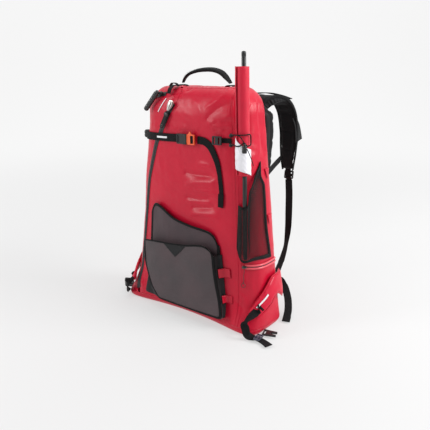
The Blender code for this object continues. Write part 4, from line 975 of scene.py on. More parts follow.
def padding_look(name, colour):
    """Spacer mesh over foam: rows of small open cells."""
    look = Look(name, colour, 0.85, sheen=0.12, specular=0.25)
    at = look.place("Object")
    cell = look.cells(at, 430.0, "F1", 0.35)
    nap = look.noise(at, 900.0, 2.0)
    broad = look.noise(at, 18.0, 3.0)
    tone = look.mix(look.span(cell, 0.2, 0.55, 0.0, 1.0), shade(colour, 0.45), shade(colour, 1.6))
    tone = look.mix(look.span(broad, 0.4, 0.8, 0.0, 0.3), tone, shade(colour, 2.4))
    look.paint(tone)
    look.bumps((cell, 0.7, 0.0006), (nap, 0.2, 0.0002))
    return look.material


def metal_look(name, colour, rough=0.3):
    look = Look(name, colour, rough, metal=1.0)
    at = look.place("Object")
    brush = look.noise(look.place("Object", (1, 1, 12)), 380.0, 3.0)
    dull = look.noise(at, 90.0, 4.0)
    look.paint(look.mix(look.span(dull, 0.4, 0.75, 0.0, 0.6), colour, shade(colour, 0.72)))
    look.roughen(look.span(brush, 0.3, 0.7, rough - 0.08, rough + 0.14))
    look.bumps((brush, 0.15, 0.0001))
    return look.material


def plain_cloth(name, colour, rough=0.7, pitch=0.0009, sheen=0.1):
    """Light plain-weave cloth with faint lighter streaks."""
    look = Look(name, colour, rough, sheen=sheen, specular=0.35)
    uv = look.place("UV")
    k = 0.31416 / pitch
    weave = look.math("MULTIPLY", look.wave(uv, k, "X"), look.wave(uv, k, "Y"))
    broad = look.noise(look.place("Object"), 14.0, 4.0)
    streak = look.noise(look.place("UV", (240, 30, 1)), 1.0, 3.0)
    tone = look.mix(look.span(broad, 0.3, 0.7, 0.0, 1.0), shade(colour, 0.86), shade(colour, 1.08))
    tone = look.mix(look.span(streak, 0.4, 0.7, 0.0, 0.18), tone, shade(colour, 1.35))
    look.paint(tone)
    look.roughen(look.span(streak, 0.3, 0.7, rough - 0.06, rough + 0.1))
    look.bumps((weave, 0.35, 0.0002), (broad, 0.25, 0.002))
    return look.material


RED_C = (0.55, 0.0035, 0.028)
RED = coated_fabric("red_coated_fabric", RED_C)
RED_SEAM = coated_fabric("red_weld_tape", (0.52, 0.0040, 0.027), 0.30, 0.15)
# the zip lips: a lighter red than the bag's cloth, a painted highlight for the light that the raised lips catch
RED_LIP_HIGHLIGHT = coated_fabric("red_zip_lip_painted_highlight", (0.80, 0.10, 0.13), 0.28, 0.4)
RED_FLAP = coated_fabric("red_wing_fabric", (0.58, 0.006, 0.034), 0.34, 0.08)
WEBBING = webbing_look("black_webbing", (0.0062, 0.0062, 0.0068))
BINDING = webbing_look("black_binding_tape", (0.0070, 0.0068, 0.0072), 0.0011)
PLASTIC = moulded("black_plastic", (0.012, 0.012, 0.0125), 0.38)
ORANGE = moulded("orange_plastic", (0.86, 0.115, 0.032), 0.36, 0.25, 0.15)
BLUE_GREY = moulded("blue_grey_plastic", (0.050, 0.058, 0.085), 0.4)
GREY_MESH = fine_mesh_look("grey_pocket_mesh", (0.066, 0.054, 0.058), (0.020, 0.012, 0.014))
GREY_MESH_UPPER = fine_mesh_look("upper_pocket_mesh", (0.056, 0.038, 0.044), (0.022, 0.010, 0.012), 0.0018)
SIDE_NET = plain_cloth("side_net_thread", (0.010, 0.0055, 0.0065), 0.6, 0.0006)
PADDING = padding_look("padding_mesh", (0.0070, 0.0070, 0.0076))
PAD_BACK = plain_cloth("pad_backing", (0.011, 0.011, 0.012), 0.75)
ZIP_BLACK = moulded("zip_film_black", (0.018, 0.017, 0.0175), 0.46, 0.2)
SILVER = metal_look("zip_silver", (0.70, 0.68, 0.64))
DARK_METAL = metal_look("zip_dark_metal", (0.10, 0.105, 0.10), 0.4)
POLE_LOOK = moulded("pole_plastic", (0.010, 0.0115, 0.012), 0.36, 0.1)
FLAG_RED = plain_cloth("flag_cloth", (0.61, 0.008, 0.036), 0.50)
FLAG_WHITE = plain_cloth("flag_white_panel", (0.86, 0.85, 0.90), 0.6)
CORD_LOOK = webbing_look("bungee_braid", (0.012, 0.012, 0.012), 0.0009)
THREAD = plain_cloth("stitch_thread", (0.035, 0.034, 0.036), 0.6, 0.0004)
RED_THREAD = plain_cloth("red_thread", (0.36, 0.014, 0.026), 0.6, 0.0004)
REFLECT = plain_cloth("reflective_bar", (0.88, 0.88, 0.90), 0.35, 0.0012)


# ---------------------------------------------------------------- the free cord: the bungee's end
tail_route = [TAIL_TOP, TAIL_TOP + [0.0045, -0.001, -0.006], TAIL_TOP + [0.0095, 0.001, -0.018], TAIL_TOP + [0.0160, 0.004, -0.036], TAIL_TOP + [0.0180, 0.006, -0.046]]
tail_line = through(tail_route, 24)
bungee_end = put("bungee_free_end", rope("bungee_free_end", tail_line, 0.0012), CORD_LOOK, "bag", ["bungee_tail"], angle=0)

# ---------------------------------------------------------------- the coated cloth's relief
# folds: from (girth, height) to (girth, height), half width, height of the fold (negative: a valley)
FOLDS = [
    (-0.010, 0.478, 0.125, 0.484, 0.0100, -0.0060),
    (-0.005, 0.442, 0.110, 0.456, 0.0110, 0.0040),
    (0.030, 0.427, 0.138, 0.415, 0.0065, 0.0028),
    (-0.005, 0.400, 0.085, 0.406, 0.0075, -0.0045),
    (-0.002, 0.385, 0.085, 0.391, 0.0065, 0.0022),
    (0.020, 0.370, 0.130, 0.394, 0.0095, -0.0058),
    (0.020, 0.345, 0.110, 0.352, 0.0110, 0.0036),
    (0.040, 0.512, 0.122, 0.495, 0.0100, 0.0030),
    (0.135, 0.738, 0.070, 0.682, 0.0080, 0.0022),
    (0.146, 0.696, 0.075, 0.650, 0.0090, -0.0030),
    (0.150, 0.662, 0.085, 0.638, 0.0070, 0.0026),
    (0.152, 0.645, 0.095, 0.634, 0.0055, -0.0022),
    (0.148, 0.632, 0.098, 0.631, 0.0060, 0.0024),
    (0.150, 0.615, 0.105, 0.620, 0.0060, -0.0022),
    (-0.015, 0.733, -0.080, 0.697, 0.0080, -0.0040),
    (-0.095, 0.738, -0.030, 0.722, 0.0090, 0.0030),
    (0.020, 0.700, 0.060, 0.655, 0.0120, 0.0016),
    (-0.160, 0.560, -0.120, 0.480, 0.0140, 0.0016),
    (0.235, 0.700, 0.262, 0.560, 0.0085, 0.0026),
    (0.250, 0.690, 0.282, 0.540, 0.0090, -0.0030),
    (0.270, 0.700, 0.305, 0.530, 0.0080, 0.0024),
    (0.215, 0.690, 0.225, 0.560, 0.0090, -0.0026),
    (0.190, 0.600, 0.215, 0.520, 0.0080, 0.0020),
    (0.300, 0.470, 0.318, 0.300, 0.0080, 0.0018),
    (0.175, 0.300, 0.205, 0.225, 0.0080, 0.0014),
    (0.150, 0.140, 0.180, 0.040, 0.0110, 0.0016),
    (0.215, 0.180, 0.245, 0.110, 0.0110, 0.0020),
    (0.250, 0.185, 0.262, 0.120, 0.0100, -0.0022),
    (0.200, 0.090, 0.260, 0.060, 0.0090, -0.0024),
    (0.205, 0.120, 0.240, 0.075, 0.0090, 0.0018),
    (-0.300, 0.640, -0.270, 0.560, 0.0110, -0.0026),
    (-0.330, 0.600, -0.300, 0.470, 0.0120, 0.0026),
    (-0.270, 0.470, -0.250, 0.330, 0.0110, -0.0022),
    (-0.350, 0.380, -0.300, 0.250, 0.0120, 0.0024),
    (-0.330, 0.230, -0.270, 0.130, 0.0110, -0.0024),
    (-0.300, 0.140, -0.250, 0.060, 0.0100, 0.0018),
]
STRAP_PATH = [(-0.235, 0.578), (-0.034, 0.585), (0.160, 0.590)]
ZIP_PATH = [(zip_line(z), z) for z in np.linspace(0.02, 0.70, 24)]


def relief(s, z):
    """How far the cloth stands off the bag's smooth form: folds, gathers and slow waves."""
    s, z = np.asarray(s, float), np.asarray(z, float)
    out = np.zeros(s.shape)
    for s0, z0, s1, z1, width, height in FOLDS:
        ds, dz = s1 - s0, z1 - z0
        long = ds * ds + dz * dz
        t = ((s - s0) * ds + (z - z0) * dz) / long
        inside = np.clip(t, 0, 1)
        bow = 0.006 * np.sin(math.pi * inside)
        side = ((s - s0) * dz - (z - z0) * ds) / math.sqrt(long) + bow * np.sign(height)
        past = np.maximum(0, np.abs(t - 0.5) - 0.5) * math.sqrt(long)
        narrow = 1.25 * width * (0.55 + 0.75 * inside if abs(s0) < abs(s1) else 1.25 - 0.65 * inside)
        d = np.hypot(side, past * 1.2) / narrow
        crease = np.exp(-np.abs(d) ** 1.45)
        out += 1.40 * height * crease * (0.35 + 0.65 * np.sin(math.pi * np.clip(inside * 0.8 + 0.1, 0, 1)))
    place = np.stack([s, z], -1)
    out += 0.0016 * waves(place, 0.16, 3, 2) + 0.00055 * waves(place, 0.045, 5, 2)
    # small gathers above and below the strap
    gather = np.exp(-((z - 0.612) / 0.014) ** 2) + 0.7 * np.exp(-((z - 0.556) / 0.014) ** 2)
    out += 0.0011 * gather * waves(np.stack([s, z * 0.25], -1), 0.018, 9, 2)
    # what lies on the bag holds the cloth down there
    hold = near_path(s, z, STRAP_PATH) - 0.016
    hold = np.minimum(hold, near_path(s, z, TAIL) - 0.013)
    hold = np.minimum(hold, near_path(s, z, ZIP_PATH) - 0.011)
    hold = np.minimum(hold, near_path(s, z, LEFT_ZIP) - 0.010)
    hold = np.minimum(hold, np.hypot(np.maximum(0, np.abs(s + 0.018) - 0.150), np.maximum(0, z - 0.33)))
    hold = np.minimum(hold, np.hypot(np.maximum(0, np.abs(s - 0.252) - 0.070), np.maximum(0, np.abs(z - 0.375) - 0.155)))
    hold = np.minimum(hold, np.hypot(np.maximum(0, np.abs(s - 0.275) - 0.072), np.maximum(0, np.abs(z - POCKET_ZIP_Z) - 0.010)))
    hold = np.minimum(hold, np.hypot(np.maximum(0, 0.236 - np.abs(s)), np.maximum(0, z - 0.180)) * 1.0)
    free = fade(hold, 0.0, 0.022)
    up = np.maximum(0, out)
    under = np.minimum(0, out)
    # the strap cinches the bag a little
    cinch = -0.0012 * np.exp(-((z - STRAP_Z) / 0.020) ** 2) * (np.abs(s) < 0.34)
    return under * (0.35 + 0.65 * free) + up * (0.06 + 0.94 * free) + cinch * 0.5


def panel_points(s_lines, z_lines, lift=None, drop=0.0):
    """Points of the cloth on a grid of girth distances (rows by columns) at heights."""
    s = np.asarray(s_lines, float)
    z = np.broadcast_to(np.asarray(z_lines, float)[:, None], s.shape)
    height = relief(s, z) - drop
    if lift is not None:
        height = height + lift
    base = np.empty(s.shape + (3,))
    normal = np.empty(s.shape + (3,))
    for i in range(s.shape[0]):
        zi = float(z[i, 0])
        l, x, y = section(zi)
        whole = 2 * l[-1]
        q = (s[i] + whole / 2) % whole - whole / 2
        base[i, :, 0] = np.sign(q) * np.interp(np.abs(q), l, x)
        base[i, :, 1] = np.interp(np.abs(q), l, y)
        base[i, :, 2] = zi
        e = 0.004
        k0, k1 = q - e, q + e
        p0 = np.stack([np.sign(k0) * np.interp(np.abs(k0), l, x), np.interp(np.abs(k0), l, y)], -1)
        p1 = np.stack([np.sign(k1) * np.interp(np.abs(k1), l, x), np.interp(np.abs(k1), l, y)], -1)
        ds = np.concatenate([p1 - p0, np.zeros((len(q), 1))], 1)
        za, zb = max(0.0, zi - e), min(HEIGHT, zi + e)
        up = []
        for zz in (za, zb):
            l2, x2, y2 = section(zz)
            r = np.abs(q) / l[-1] * l2[-1]
            up.append(np.stack([np.sign(q) * np.interp(r, l2, x2), np.interp(r, l2, y2), np.full(len(q), zz)], -1))
        normal[i] = unit_rows(np.cross(ds, up[1] - up[0]))
    return base + normal * height[..., None], normal


def spaced(low, high, coarse, fine, margin_low, margin_high):
    """Places from low to high, fine near both ends."""
    n = max(2, int((high - low) / fine) + 1)
    t = np.linspace(low, high, n * 3)
    density = np.where((t - low < margin_low) | (high - t < margin_high), 1 / fine, 1 / coarse)
    total = np.concatenate([[0], np.cumsum((density[1:] + density[:-1]) / 2 * np.diff(t))])
    count = int(total[-1]) + 2
    return np.interp(np.linspace(0, total[-1], count), total, t)


TOP_Z = 0.7355
LEVELS = np.concatenate([spaced(0.0216, 0.655, 0.0036, 0.0018, 0.006, 0.0), HEIGHT - TOP_ROUND * (1 - np.sin(np.linspace(0.02, math.asin((TOP_Z - HEIGHT + TOP_ROUND) / TOP_ROUND), 34)))])
LEVELS = np.sort(LEVELS)


def cloth_panel(name, left, right, node, margin=(0.012, 0.012), lift=None, coarse=0.0036):
    width = max(right(z) - left(z) for z in (0.05, 0.3, 0.6))
    t = spaced(0.0, width, coarse, 0.0014, *margin) / width
    lines = np.array([left(z) + (right(z) - left(z)) * t for z in LEVELS])
    zs = np.broadcast_to(LEVELS[:, None], lines.shape)
    extra = lift(lines, zs) if lift else None
    points, _ = panel_points(lines, LEVELS, extra)
    uv = np.stack([lines, zs], -1)
    mesh = net(name, points, uv)
    return put(name, mesh, RED, "bag", [node], solid=0.0011, offset=-1.0, angle=0)


def groove(x, at, width, depth):
    return -depth * np.exp(-((x - at) / width) ** 2)


def right_lap(s, z):
    """The side laps over the front: a raised, pressed band along the seam."""
    edge = np.vectorize(right_edge)(z[:, :1])
    d = s - edge
    return 0.0012 * (1 - fade(d, 0.0085, 0.0105)) + groove(d, 0.0045, 0.0007, 0.0004)


def front_weld(s, z):
    edge = np.vectorize(right_edge)(z[:, :1])
    line = np.vectorize(zip_line)(z[:, :1])
    return groove(s, edge - 0.009, 0.0008, 0.0004) + 0.0007 * (1 - fade(s - line, 0.0145, 0.0160)) + groove(s, line + 0.0130, 0.0007, 0.0003)


def left_weld(s, z):
    line = np.vectorize(zip_line)(z[:, :1])
    back = -np.vectorize(back_edge)(z[:, :1])
    return 0.0007 * (1 - fade(line - s, 0.0145, 0.0160)) + groove(s, line - 0.0130, 0.0007, 0.0003) + 0.0009 * (1 - fade(s - back, 0.0100, 0.0120))


def back_lap(s, z):
    left = np.vectorize(back_edge)(z[:, :1])
    right = 2 * np.array([[girth(float(k))] for k in z[:, 0]]) - left
    near = np.minimum(s - left, right - s)
    return 0.0010 * (1 - fade(near, 0.0080, 0.0100)) + groove(near, 0.0040, 0.0007, 0.0003)


cloth_panel("front_cloth", lambda z: zip_line(z) + 0.0045, lambda z: right_edge(z) - 0.0004, "front_panel", (0.018, 0.014), front_weld)
cloth_panel("left_side_cloth", lambda z: -back_edge(z) + 0.0004, lambda z: zip_line(z) - 0.0045, "left_side_panel", (0.014, 0.018), left_weld)
cloth_panel("right_side_cloth", lambda z: right_edge(z) + 0.0004, lambda z: back_edge(z) - 0.0004, "right_side_panel", (0.014, 0.014), right_lap)
cloth_panel("back_cloth", lambda z: back_edge(z) + 0.0004, lambda z: 2 * girth(z) - back_edge(z) - 0.0004, "back_panel", (0.012, 0.012), back_lap, 0.006)


def top_cloth():
    """The top: it continues the walls' rounding and sags a little between the handle's feet."""
    count = 220
    rows = []
    levels = np.append(np.linspace(TOP_Z + 0.0003, HEIGHT - 0.0006, 4), HEIGHT)
    for z in levels:
        whole = 2 * girth(z)
        s = whole * np.linspace(0, 1, count, endpoint=False) - whole / 2
        points, _ = panel_points(s[None, :], [z])
        rows.append(points[0])
    last = rows[-1]
    middle = last.mean(0)
    for k in np.linspace(0.96, 0.04, 26):
        ring = middle + (last - middle) * k
        ring[:, 2] = HEIGHT
        rows.append(ring)
    rows = np.array(rows)
    flat = rows[4:]
    reach = np.clip(np.linspace(0, 1, len(flat)), 0, 1)[:, None]
    dent = -0.0035 * reach + 0.0009 * waves(flat[..., :2], 0.09, 21, 3) * fade(reach, 0.0, 0.15)
    for x, y, x1, y1, width, high in ((-0.15, -0.03, -0.02, -0.055, 0.008, -0.0020), (0.02, -0.06, 0.12, -0.04, 0.008, -0.0018), (-0.06, 0.04, 0.05, 0.05, 0.010, -0.0015)):
        d = near_path(flat[..., 0], flat[..., 1], [(x, y), (x1, y1)])
        dent = dent + high * np.exp(-(d / width) ** 1.6)
    foot = np.minimum(np.hypot(flat[..., 0] + 0.1005, flat[..., 1] - HANDLE_Y), np.hypot(flat[..., 0] - 0.0945, flat[..., 1] - HANDLE_Y))
    dent = np.minimum(dent, 0.0002) * fade(foot, 0.016, 0.036)
    flat[..., 2] += dent
    centre = np.append(middle[:2], flat[-1, :, 2].mean())
    uv = rows[..., :2]
    mesh = net("top_cloth", rows, uv, ring=True, centre=centre)
    return put("top_cloth", mesh, RED, "bag", ["top_panel"], solid=0.0011, offset=-1.0, angle=0)


top_cloth()


def base_cloth():
    """The base: a reinforced tray, flat on the ground, with a rounded edge."""
    count = 200
    rows = []
    for z in [0.0214] + [BASE_ROUND * (1 - math.sin(t)) for t in np.linspace(0, math.pi / 2, 12)]:
        whole = 2 * girth(z)
        s = whole * np.linspace(0, 1, count, endpoint=False) - whole / 2
        row = np.array([skin(k, z, 0.0004 if z > 0.012 else 0.0) for k in s])
        rows.append(row)
    last = rows[-1]
    middle = last.mean(0)
    for k in np.linspace(0.95, 0.05, 14):
        rows.append(middle + (last - middle) * k)
    rows = np.array(rows)[:, ::-1]
    uv = rows[..., :2]
    mesh = net("base_cloth", rows, uv, ring=True, centre=middle)
    return put("base_cloth", mesh, RED_SEAM, "bag", ["base_panel"], solid=0.0014, offset=-1.0, angle=0)


base_cloth()


def on_cloth(path, count, off, smooth_path=True):
    """Points along a path of (girth, height) that follow the cloth's relief, their normals and paths."""
    path = through([(s, z, 0.0) for s, z in path], count)[:, :2] if smooth_path else np.array(path, float)
    height = relief(path[:, 0], path[:, 1])
    normals = np.array([skin_normal(s, z) for s, z in path])
    points = np.array([on_skin(s, z) for s, z in path])
    return points + normals * (height + off)[:, None], normals, path


def laid_strip(name, path, width, thick, material, body="bag", off=0.0, count=80, replaces=(), profile=None, columns=7, bulge=0.0):
    """A strip that lies on the cloth and follows it across its width too."""
    path = through([(s, z, 0.0) for s, z in path], count)[:, :2]
    centre = np.array([on_skin(s, z) for s, z in path])
    normals = np.array([skin_normal(s, z) for s, z in path])
    run = unit_rows(np.gradient(centre, axis=0))
    across = unit_rows(np.cross(run, normals))
    width = np.broadcast_to(np.asarray(width, float), (count,))
    # girth and height change of a step across the strip
    up = np.array([0.0, 0.0, 1.0])
    girth_way = unit_rows(np.cross(up, normals))
    rows, sides = [], []
    for k in np.linspace(-0.5, 0.5, columns):
        ds = (across * girth_way).sum(1) * width * k
        rise = across[:, 2] * width * k
        s = path[:, 0] + ds
        z = np.clip(path[:, 1] + rise, 0.0, HEIGHT)
        n = np.array([skin_normal(a, b) for a, b in zip(s, z)])
        base = np.array([on_skin(a, b) for a, b in zip(s, z)])
        lift = np.minimum(relief(s, z), 0.0012) + off + bulge * (1 - (2 * k) ** 2)
        rows.append(base + n * lift[:, None])
        sides.append(n)
    low = np.array(rows).transpose(1, 0, 2)
    n = np.array(sides).transpose(1, 0, 2)
    edge = np.abs(np.linspace(-1, 1, columns))
    top = low + n * (thick * (1 - 0.35 * (edge > 0.98)))[None, :, None]
    ring = np.concatenate([top, low[:, ::-1]], 1)
    span = np.linspace(-0.5, 0.5, columns)
    u = np.concatenate([span, span[::-1]])[None, :] * width[:, None] + 0.5
    s = np.concatenate([[0], np.cumsum(np.linalg.norm(np.diff(centre, axis=0), axis=1))])
    uv = np.stack([u, np.broadcast_to(s[:, None], u.shape)], -1)
    mesh = net(name, ring, uv, ring=True)
    bm = bmesh.new()
    bm.from_mesh(mesh)
    bm.verts.ensure_lookup_table()
    m = 2 * columns
    bm.faces.new([bm.verts[j] for j in range(m)][::-1])
    bm.faces.new([bm.verts[(count - 1) * m + j] for j in range(m)])
    bmesh.ops.recalc_face_normals(bm, faces=bm.faces)
    bm.to_mesh(mesh)
    bm.free()
    made = put(name, mesh, material, body, list(replaces), angle=45)
    edges = [(top[:, 1], n[:, 1]), (top[:, -2], n[:, -2])]
    return made, edges, (centre, normals, across)


# ---------------------------------------------------------------- zips
def zip_strip(name, path, width, node, film, count, off=0.0014, body="bag"):
    """A coated zip: a film strip, with its dark coil laid a little higher along the middle."""
    laid_strip(name, path, width, 0.0011, film, body, off, count, [node], columns=9)
    half = width / 4
    _, edges, mid = laid_strip(name + "_coil", path, 0.0046, 0.0011, ZIP_BLACK, body, off + 0.0010, count, columns=7, bulge=0.0006)
    return mid


main_path = [(zip_line(z), z) for z in np.linspace(0.6890, 0.034, 40)]
centre, normals, across = zip_strip("main_zip_film", main_path, 0.0172, "main_zip_tape", ZIP_BLACK, 260)
stitches("main_zip_coil_teeth", [(centre + normals * (0.0036 + relief(np.array([p[0] for p in through([(s, z, 0) for s, z in main_path], 260)]), np.array([p[1] for p in through([(s, z, 0) for s, z in main_path], 260)]))[:, None]) + across * k, normals) for k in (-0.0010, 0.0010)], ZIP_BLACK, "bag", pitch=0.0019, length=0.0011, width=0.0015, high=0.0005)
laid_strip("front_seam_weld", [(zip_line(z), z) for z in np.linspace(0.6895, 0.7325, 8)], 0.0140, 0.0009, RED, "bag", 0.0011, 60, columns=9)
laid_strip("edge_mark", [(-0.096, 0.703), (-0.104, 0.692), (-0.115, 0.676), (-0.125, 0.661)], 0.0030, 0.0004, REFLECT, "bag", 0.0018, 40, columns=5)
zip_strip("left_zip_film", [(-0.104, 0.7163)] + LEFT_ZIP[1:], 0.0150, "left_zip_tape", ZIP_BLACK, 160)

pocket_path = [(s, POCKET_ZIP_Z) for s in np.linspace(0.2055, 0.345, 14)]
laid_strip("pocket_zip_welt", pocket_path, 0.0180, 0.0010, RED_SEAM, "bag", 0.0012, 120, ["pocket_zip_tape"], columns=9)
# the two raised lips, in the lighter red that carries their painted highlight
for shift, tag in ((0.0046, "upper"), (-0.0046, "lower")):
    laid_strip("pocket_zip_lip_" + tag, [(s, z + shift) for s, z in pocket_path[1:]], 0.0062, 0.0012, RED_LIP_HIGHLIGHT, "bag", 0.0026, 110, columns=7, bulge=0.0014)
laid_strip("pocket_zip_slit", [(s, z) for s, z in pocket_path[1:]], 0.0036, 0.0006, ZIP_BLACK, "bag", 0.0022, 110, columns=5)


def teardrop(length, width, count=20):
    """A slider's outline: round at the nose, narrowing to the tail."""
    made = []
    for t in np.linspace(0, 2 * math.pi, count * 2, endpoint=False):
        x = math.cos(t) * length / 2
        w = width / 2 * math.sin(t) * (0.72 + 0.28 * math.cos(t)) * 1.12
        made.append((x, w))
    return made


def slider(name, at, way, out, length, width, height, metal, body, node, hole):
    """A zip slider: two plates joined at the nose, and the bridge that the pull hangs on."""
    pieces = [
        flat_plate("plate", [teardrop(length, width)], 0.0016, place_axes(-way, out, at - out * (height / 2 - 0.0010)), 0.0005),
        flat_plate("plate", [teardrop(length, width), [(x * 1.0 + length * 0.24, y) for x, y in rounded(hole, hole, hole / 2 * 0.98, 4)][::-1]], 0.0020, place_axes(-way, out, at + out * (height / 2 - 0.0012)), 0.0006),
        box_mesh("post", (length * 0.30, width * 0.30, height - 0.0020), place_axes(way, out, at - way * length * 0.12), 0.0005),
    ]
    side = np.cross(out, way)
    arch = [at + way * (length * 0.40 * math.cos(t) - length * 0.02) + out * (height * 0.42 + 0.0030 * math.sin(t)) for t in np.linspace(0.05, math.pi - 0.05, 12)]
    pieces.append(swept("bridge", arch, side, width * 0.30, 0.0013, ROUND))
    for mesh in pieces[1:]:
        pass
    made = put(name, joined(name, pieces), metal, body, [node], angle=35)
    return made


slider("main_slider", SLIDER_AT, ZIP_DIR, ZIP_OUT, 0.0350, 0.0200, 0.0076, SILVER, "main_zip_slider", "main_zip_slider", 0.0042)
slider("left_slider", LEFT_SLIDER_AT, LD, LN, 0.0215, 0.0120, 0.0060, DARK_METAL, "left_zip_slider", "left_zip_slider", 0.0026)
slider("pocket_slider", POCKET_SLIDER_AT, POCKET_DIR, POCKET_OUT, 0.0158, 0.0105, 0.0060, DARK_METAL, "pocket_zip_slider", "pocket_zip_slider", 0.0022)

# the main zip's pull: a flat webbing tab from the slider's bridge, with an eyelet at its end
pull = flat_plate(
    "main_zip_pull_tab",
    [
        [(x, y * (0.62 + 0.38 * min(1.0, x / 0.010))) for x, y in rounded(PULL_LENGTH, 0.0142, 0.0058, 6, (PULL_LENGTH / 2 + 0.0005, 0))],
        rounded(0.0052, 0.0052, 0.00255, 5, (PULL_LENGTH - 0.0085, 0))[::-1],
    ],
    0.0028, place_axes(PULL_DIR, ZIP_OUT, PULL_AT), 0.0007,
)
put("main_zip_pull_tab", pull, PAD_BACK, "main_zip_pull", ["main_zip_pull"], angle=35)
m = place_axes(PULL_DIR, ZIP_OUT, PULL_AT)
eyelet = [m @ Vector((PULL_LENGTH - 0.0085 + 0.0036 * math.cos(t), 0.0036 * math.sin(t), 0.0014)) for t in np.linspace(0, 2 * math.pi, 25)]
put("main_zip_pull_eyelet", rope("main_zip_pull_eyelet", [tuple(p) for p in eyelet], 0.0010, 8), DARK_METAL, "main_zip_pull")
put("main_zip_pull_keeper", box_mesh("main_zip_pull_keeper", (0.010, 0.0168, 0.0046), m @ Matrix.Translation((0.0125, 0, 0)), 0.0010), PLASTIC, "main_zip_pull")
line = [m @ Vector((x, y, 0.00145)) for x, y in ((0.019, 0.0052), (0.040, 0.0052), (0.046, 0.0048))]
line2 = [m @ Vector((x, y, 0.00145)) for x, y in ((0.019, -0.0052), (0.040, -0.0052), (0.046, -0.0048))]
stitches("main_zip_pull_stitches", [([tuple(p) for p in line], [ZIP_OUT] * 3), ([tuple(p) for p in line2], [ZIP_OUT] * 3)], THREAD, "main_zip_pull")

# the left zip's pull: a thick moulded capsule with finger rings, on a short neck
capsule = [(0.0034, 0.0018), (0.0052, 0.0008), (0.0060, -0.0006), (0.0058, -0.0030)]
capsule += [(PULL_R * (0.90 + 0.10 * math.sin(t)), -0.0060 - 0.004 * (t / (math.pi / 2))) for t in np.linspace(0, math.pi / 2, 5)]
body_low = -LONG + PULL_R
for k in range(5):
    z0 = -0.0150 - k * (LONG - 0.028) / 5
    capsule += [(PULL_R, z0), (PULL_R - 0.0005, z0 - 0.0008), (PULL_R - 0.0005, z0 - 0.0016), (PULL_R, z0 - 0.0024)]
capsule += [(PULL_R * math.cos(t), body_low - PULL_R * math.sin(t)) for t in np.linspace(0.0, 1.35, 9)]
put("left_zip_pull_grip", lathe("left_zip_pull_grip", capsule, place_axes(np.cross([0.0, 1.0, 0.0], -LEFT_PULL_DIR), -LEFT_PULL_DIR, LEFT_PULL_AT)), moulded("soft_grip_black", (0.012, 0.0125, 0.012), 0.28, 0.15, 0.2), "left_zip_pull", ["left_zip_pull"], angle=50)

# the low pocket's pull: a cord with a moulded ring
m = place_axes(POCKET_HANG, POCKET_OUT, POCKET_PULL_AT)
cord_run = [tuple(m @ Vector((x, y, z))) for x, y, z in ((0.0, 0.0, 0.0), (0.008, 0.0006, 0.0003), (0.020, -0.0008, 0.0), (0.032, 0.0006, 0.0), (0.0435, 0.0, 0.0))]
ring = [tuple(m @ Vector((0.0510 + 0.0062 * math.cos(t), 0.0062 * math.sin(t), 0.0))) for t in np.linspace(0, 2 * math.pi, 33)]
put("pocket_zip_pull_ring", joined("pocket_zip_pull_ring", [rope("cord", through(cord_run, 30), 0.0013), rope("ring", ring, 0.0013, 10), lathe("knob", [(0.0010, 0.0030), (0.0024, 0.0022), (0.0028, 0.0), (0.0024, -0.0022), (0.0010, -0.0030)], place_axes(np.cross(POCKET_HANG, POCKET_OUT), -POCKET_HANG, m @ Vector((0.0425, 0, 0))), 20)]), moulded("dark_red_pull", (0.16, 0.014, 0.020), 0.5), "pocket_zip_pull", ["pocket_zip_pull"])


# ---------------------------------------------------------------- front pockets
def bent_sheet(name, point, rows, columns, material, body, node, solid=0.0009, puff=None):
    u = np.linspace(0, 1, columns)
    v = np.linspace(0, 1, rows)
    points = np.array([[point(a, b) for a in u] for b in v])
    du = np.gradient(points, axis=1)
    dv = np.gradient(points, axis=0)
    normal = unit_rows(np.cross(du, dv))
    if puff is not None:
        uu, vv = np.meshgrid(u, v)
        points = points + normal * puff(uu, vv, points)[..., None]
    return put(name, net(name, points), material, body, [node], solid=solid, offset=-1.0, angle=0)


def edge_fade(u, v, k=0.06):
    return fade(np.minimum(u, 1 - u), 0, k) * fade(np.minimum(v, 1 - v), 0, k)


def upper_puff(u, v, p):
    out = 0.0012 * waves(p[..., [0, 2]], 0.11, 31, 2)
    out += 0.0016 * np.exp(-((v - 0.96) / 0.09) ** 2) * waves(p[..., [0, 2]] * [1, 0.2], 0.06, 33, 1)
    return out * edge_fade(u, v) + 0.0004


def lower_puff(u, v, p):
    out = 0.0013 * waves(p[..., [0, 2]], 0.13, 35, 2)
    d = np.abs(v - 0.16 - 0.10 * u)
    out += -0.0014 * np.exp(-(d / 0.03) ** 2) * fade(u, 0.55, 0.95)
    return out * edge_fade(u, v) + 0.0003


bent_sheet("upper_pocket_cloth", lambda u, v: mesh_point(u, v, 0.0012), 90, 120, GREY_MESH_UPPER, "bag", "front_mesh_panel", puff=upper_puff)
bent_sheet("lower_pocket_cloth", lambda u, v: pocket_point(u, v, 0.0016), 90, 120, GREY_MESH, "bag", "front_pocket_panel", puff=lower_puff)


def dense(path, count):
    """A path resampled evenly without overshoot."""
    path = np.asarray(path, float)
    s = np.concatenate([[0], np.cumsum(np.linalg.norm(np.diff(path, axis=0), axis=1))])
    at = np.linspace(0, s[-1], count)
    return np.stack([np.interp(at, s, path[:, i]) for i in range(path.shape[1])], 1)


def eased(path, times=3):
    """Rounds a path's corners a little; its ends stay."""
    path = np.asarray(path, float).copy()
    for _ in range(times):
        path[1:-1] = 0.25 * path[:-2] + 0.5 * path[1:-1] + 0.25 * path[2:]
    return path


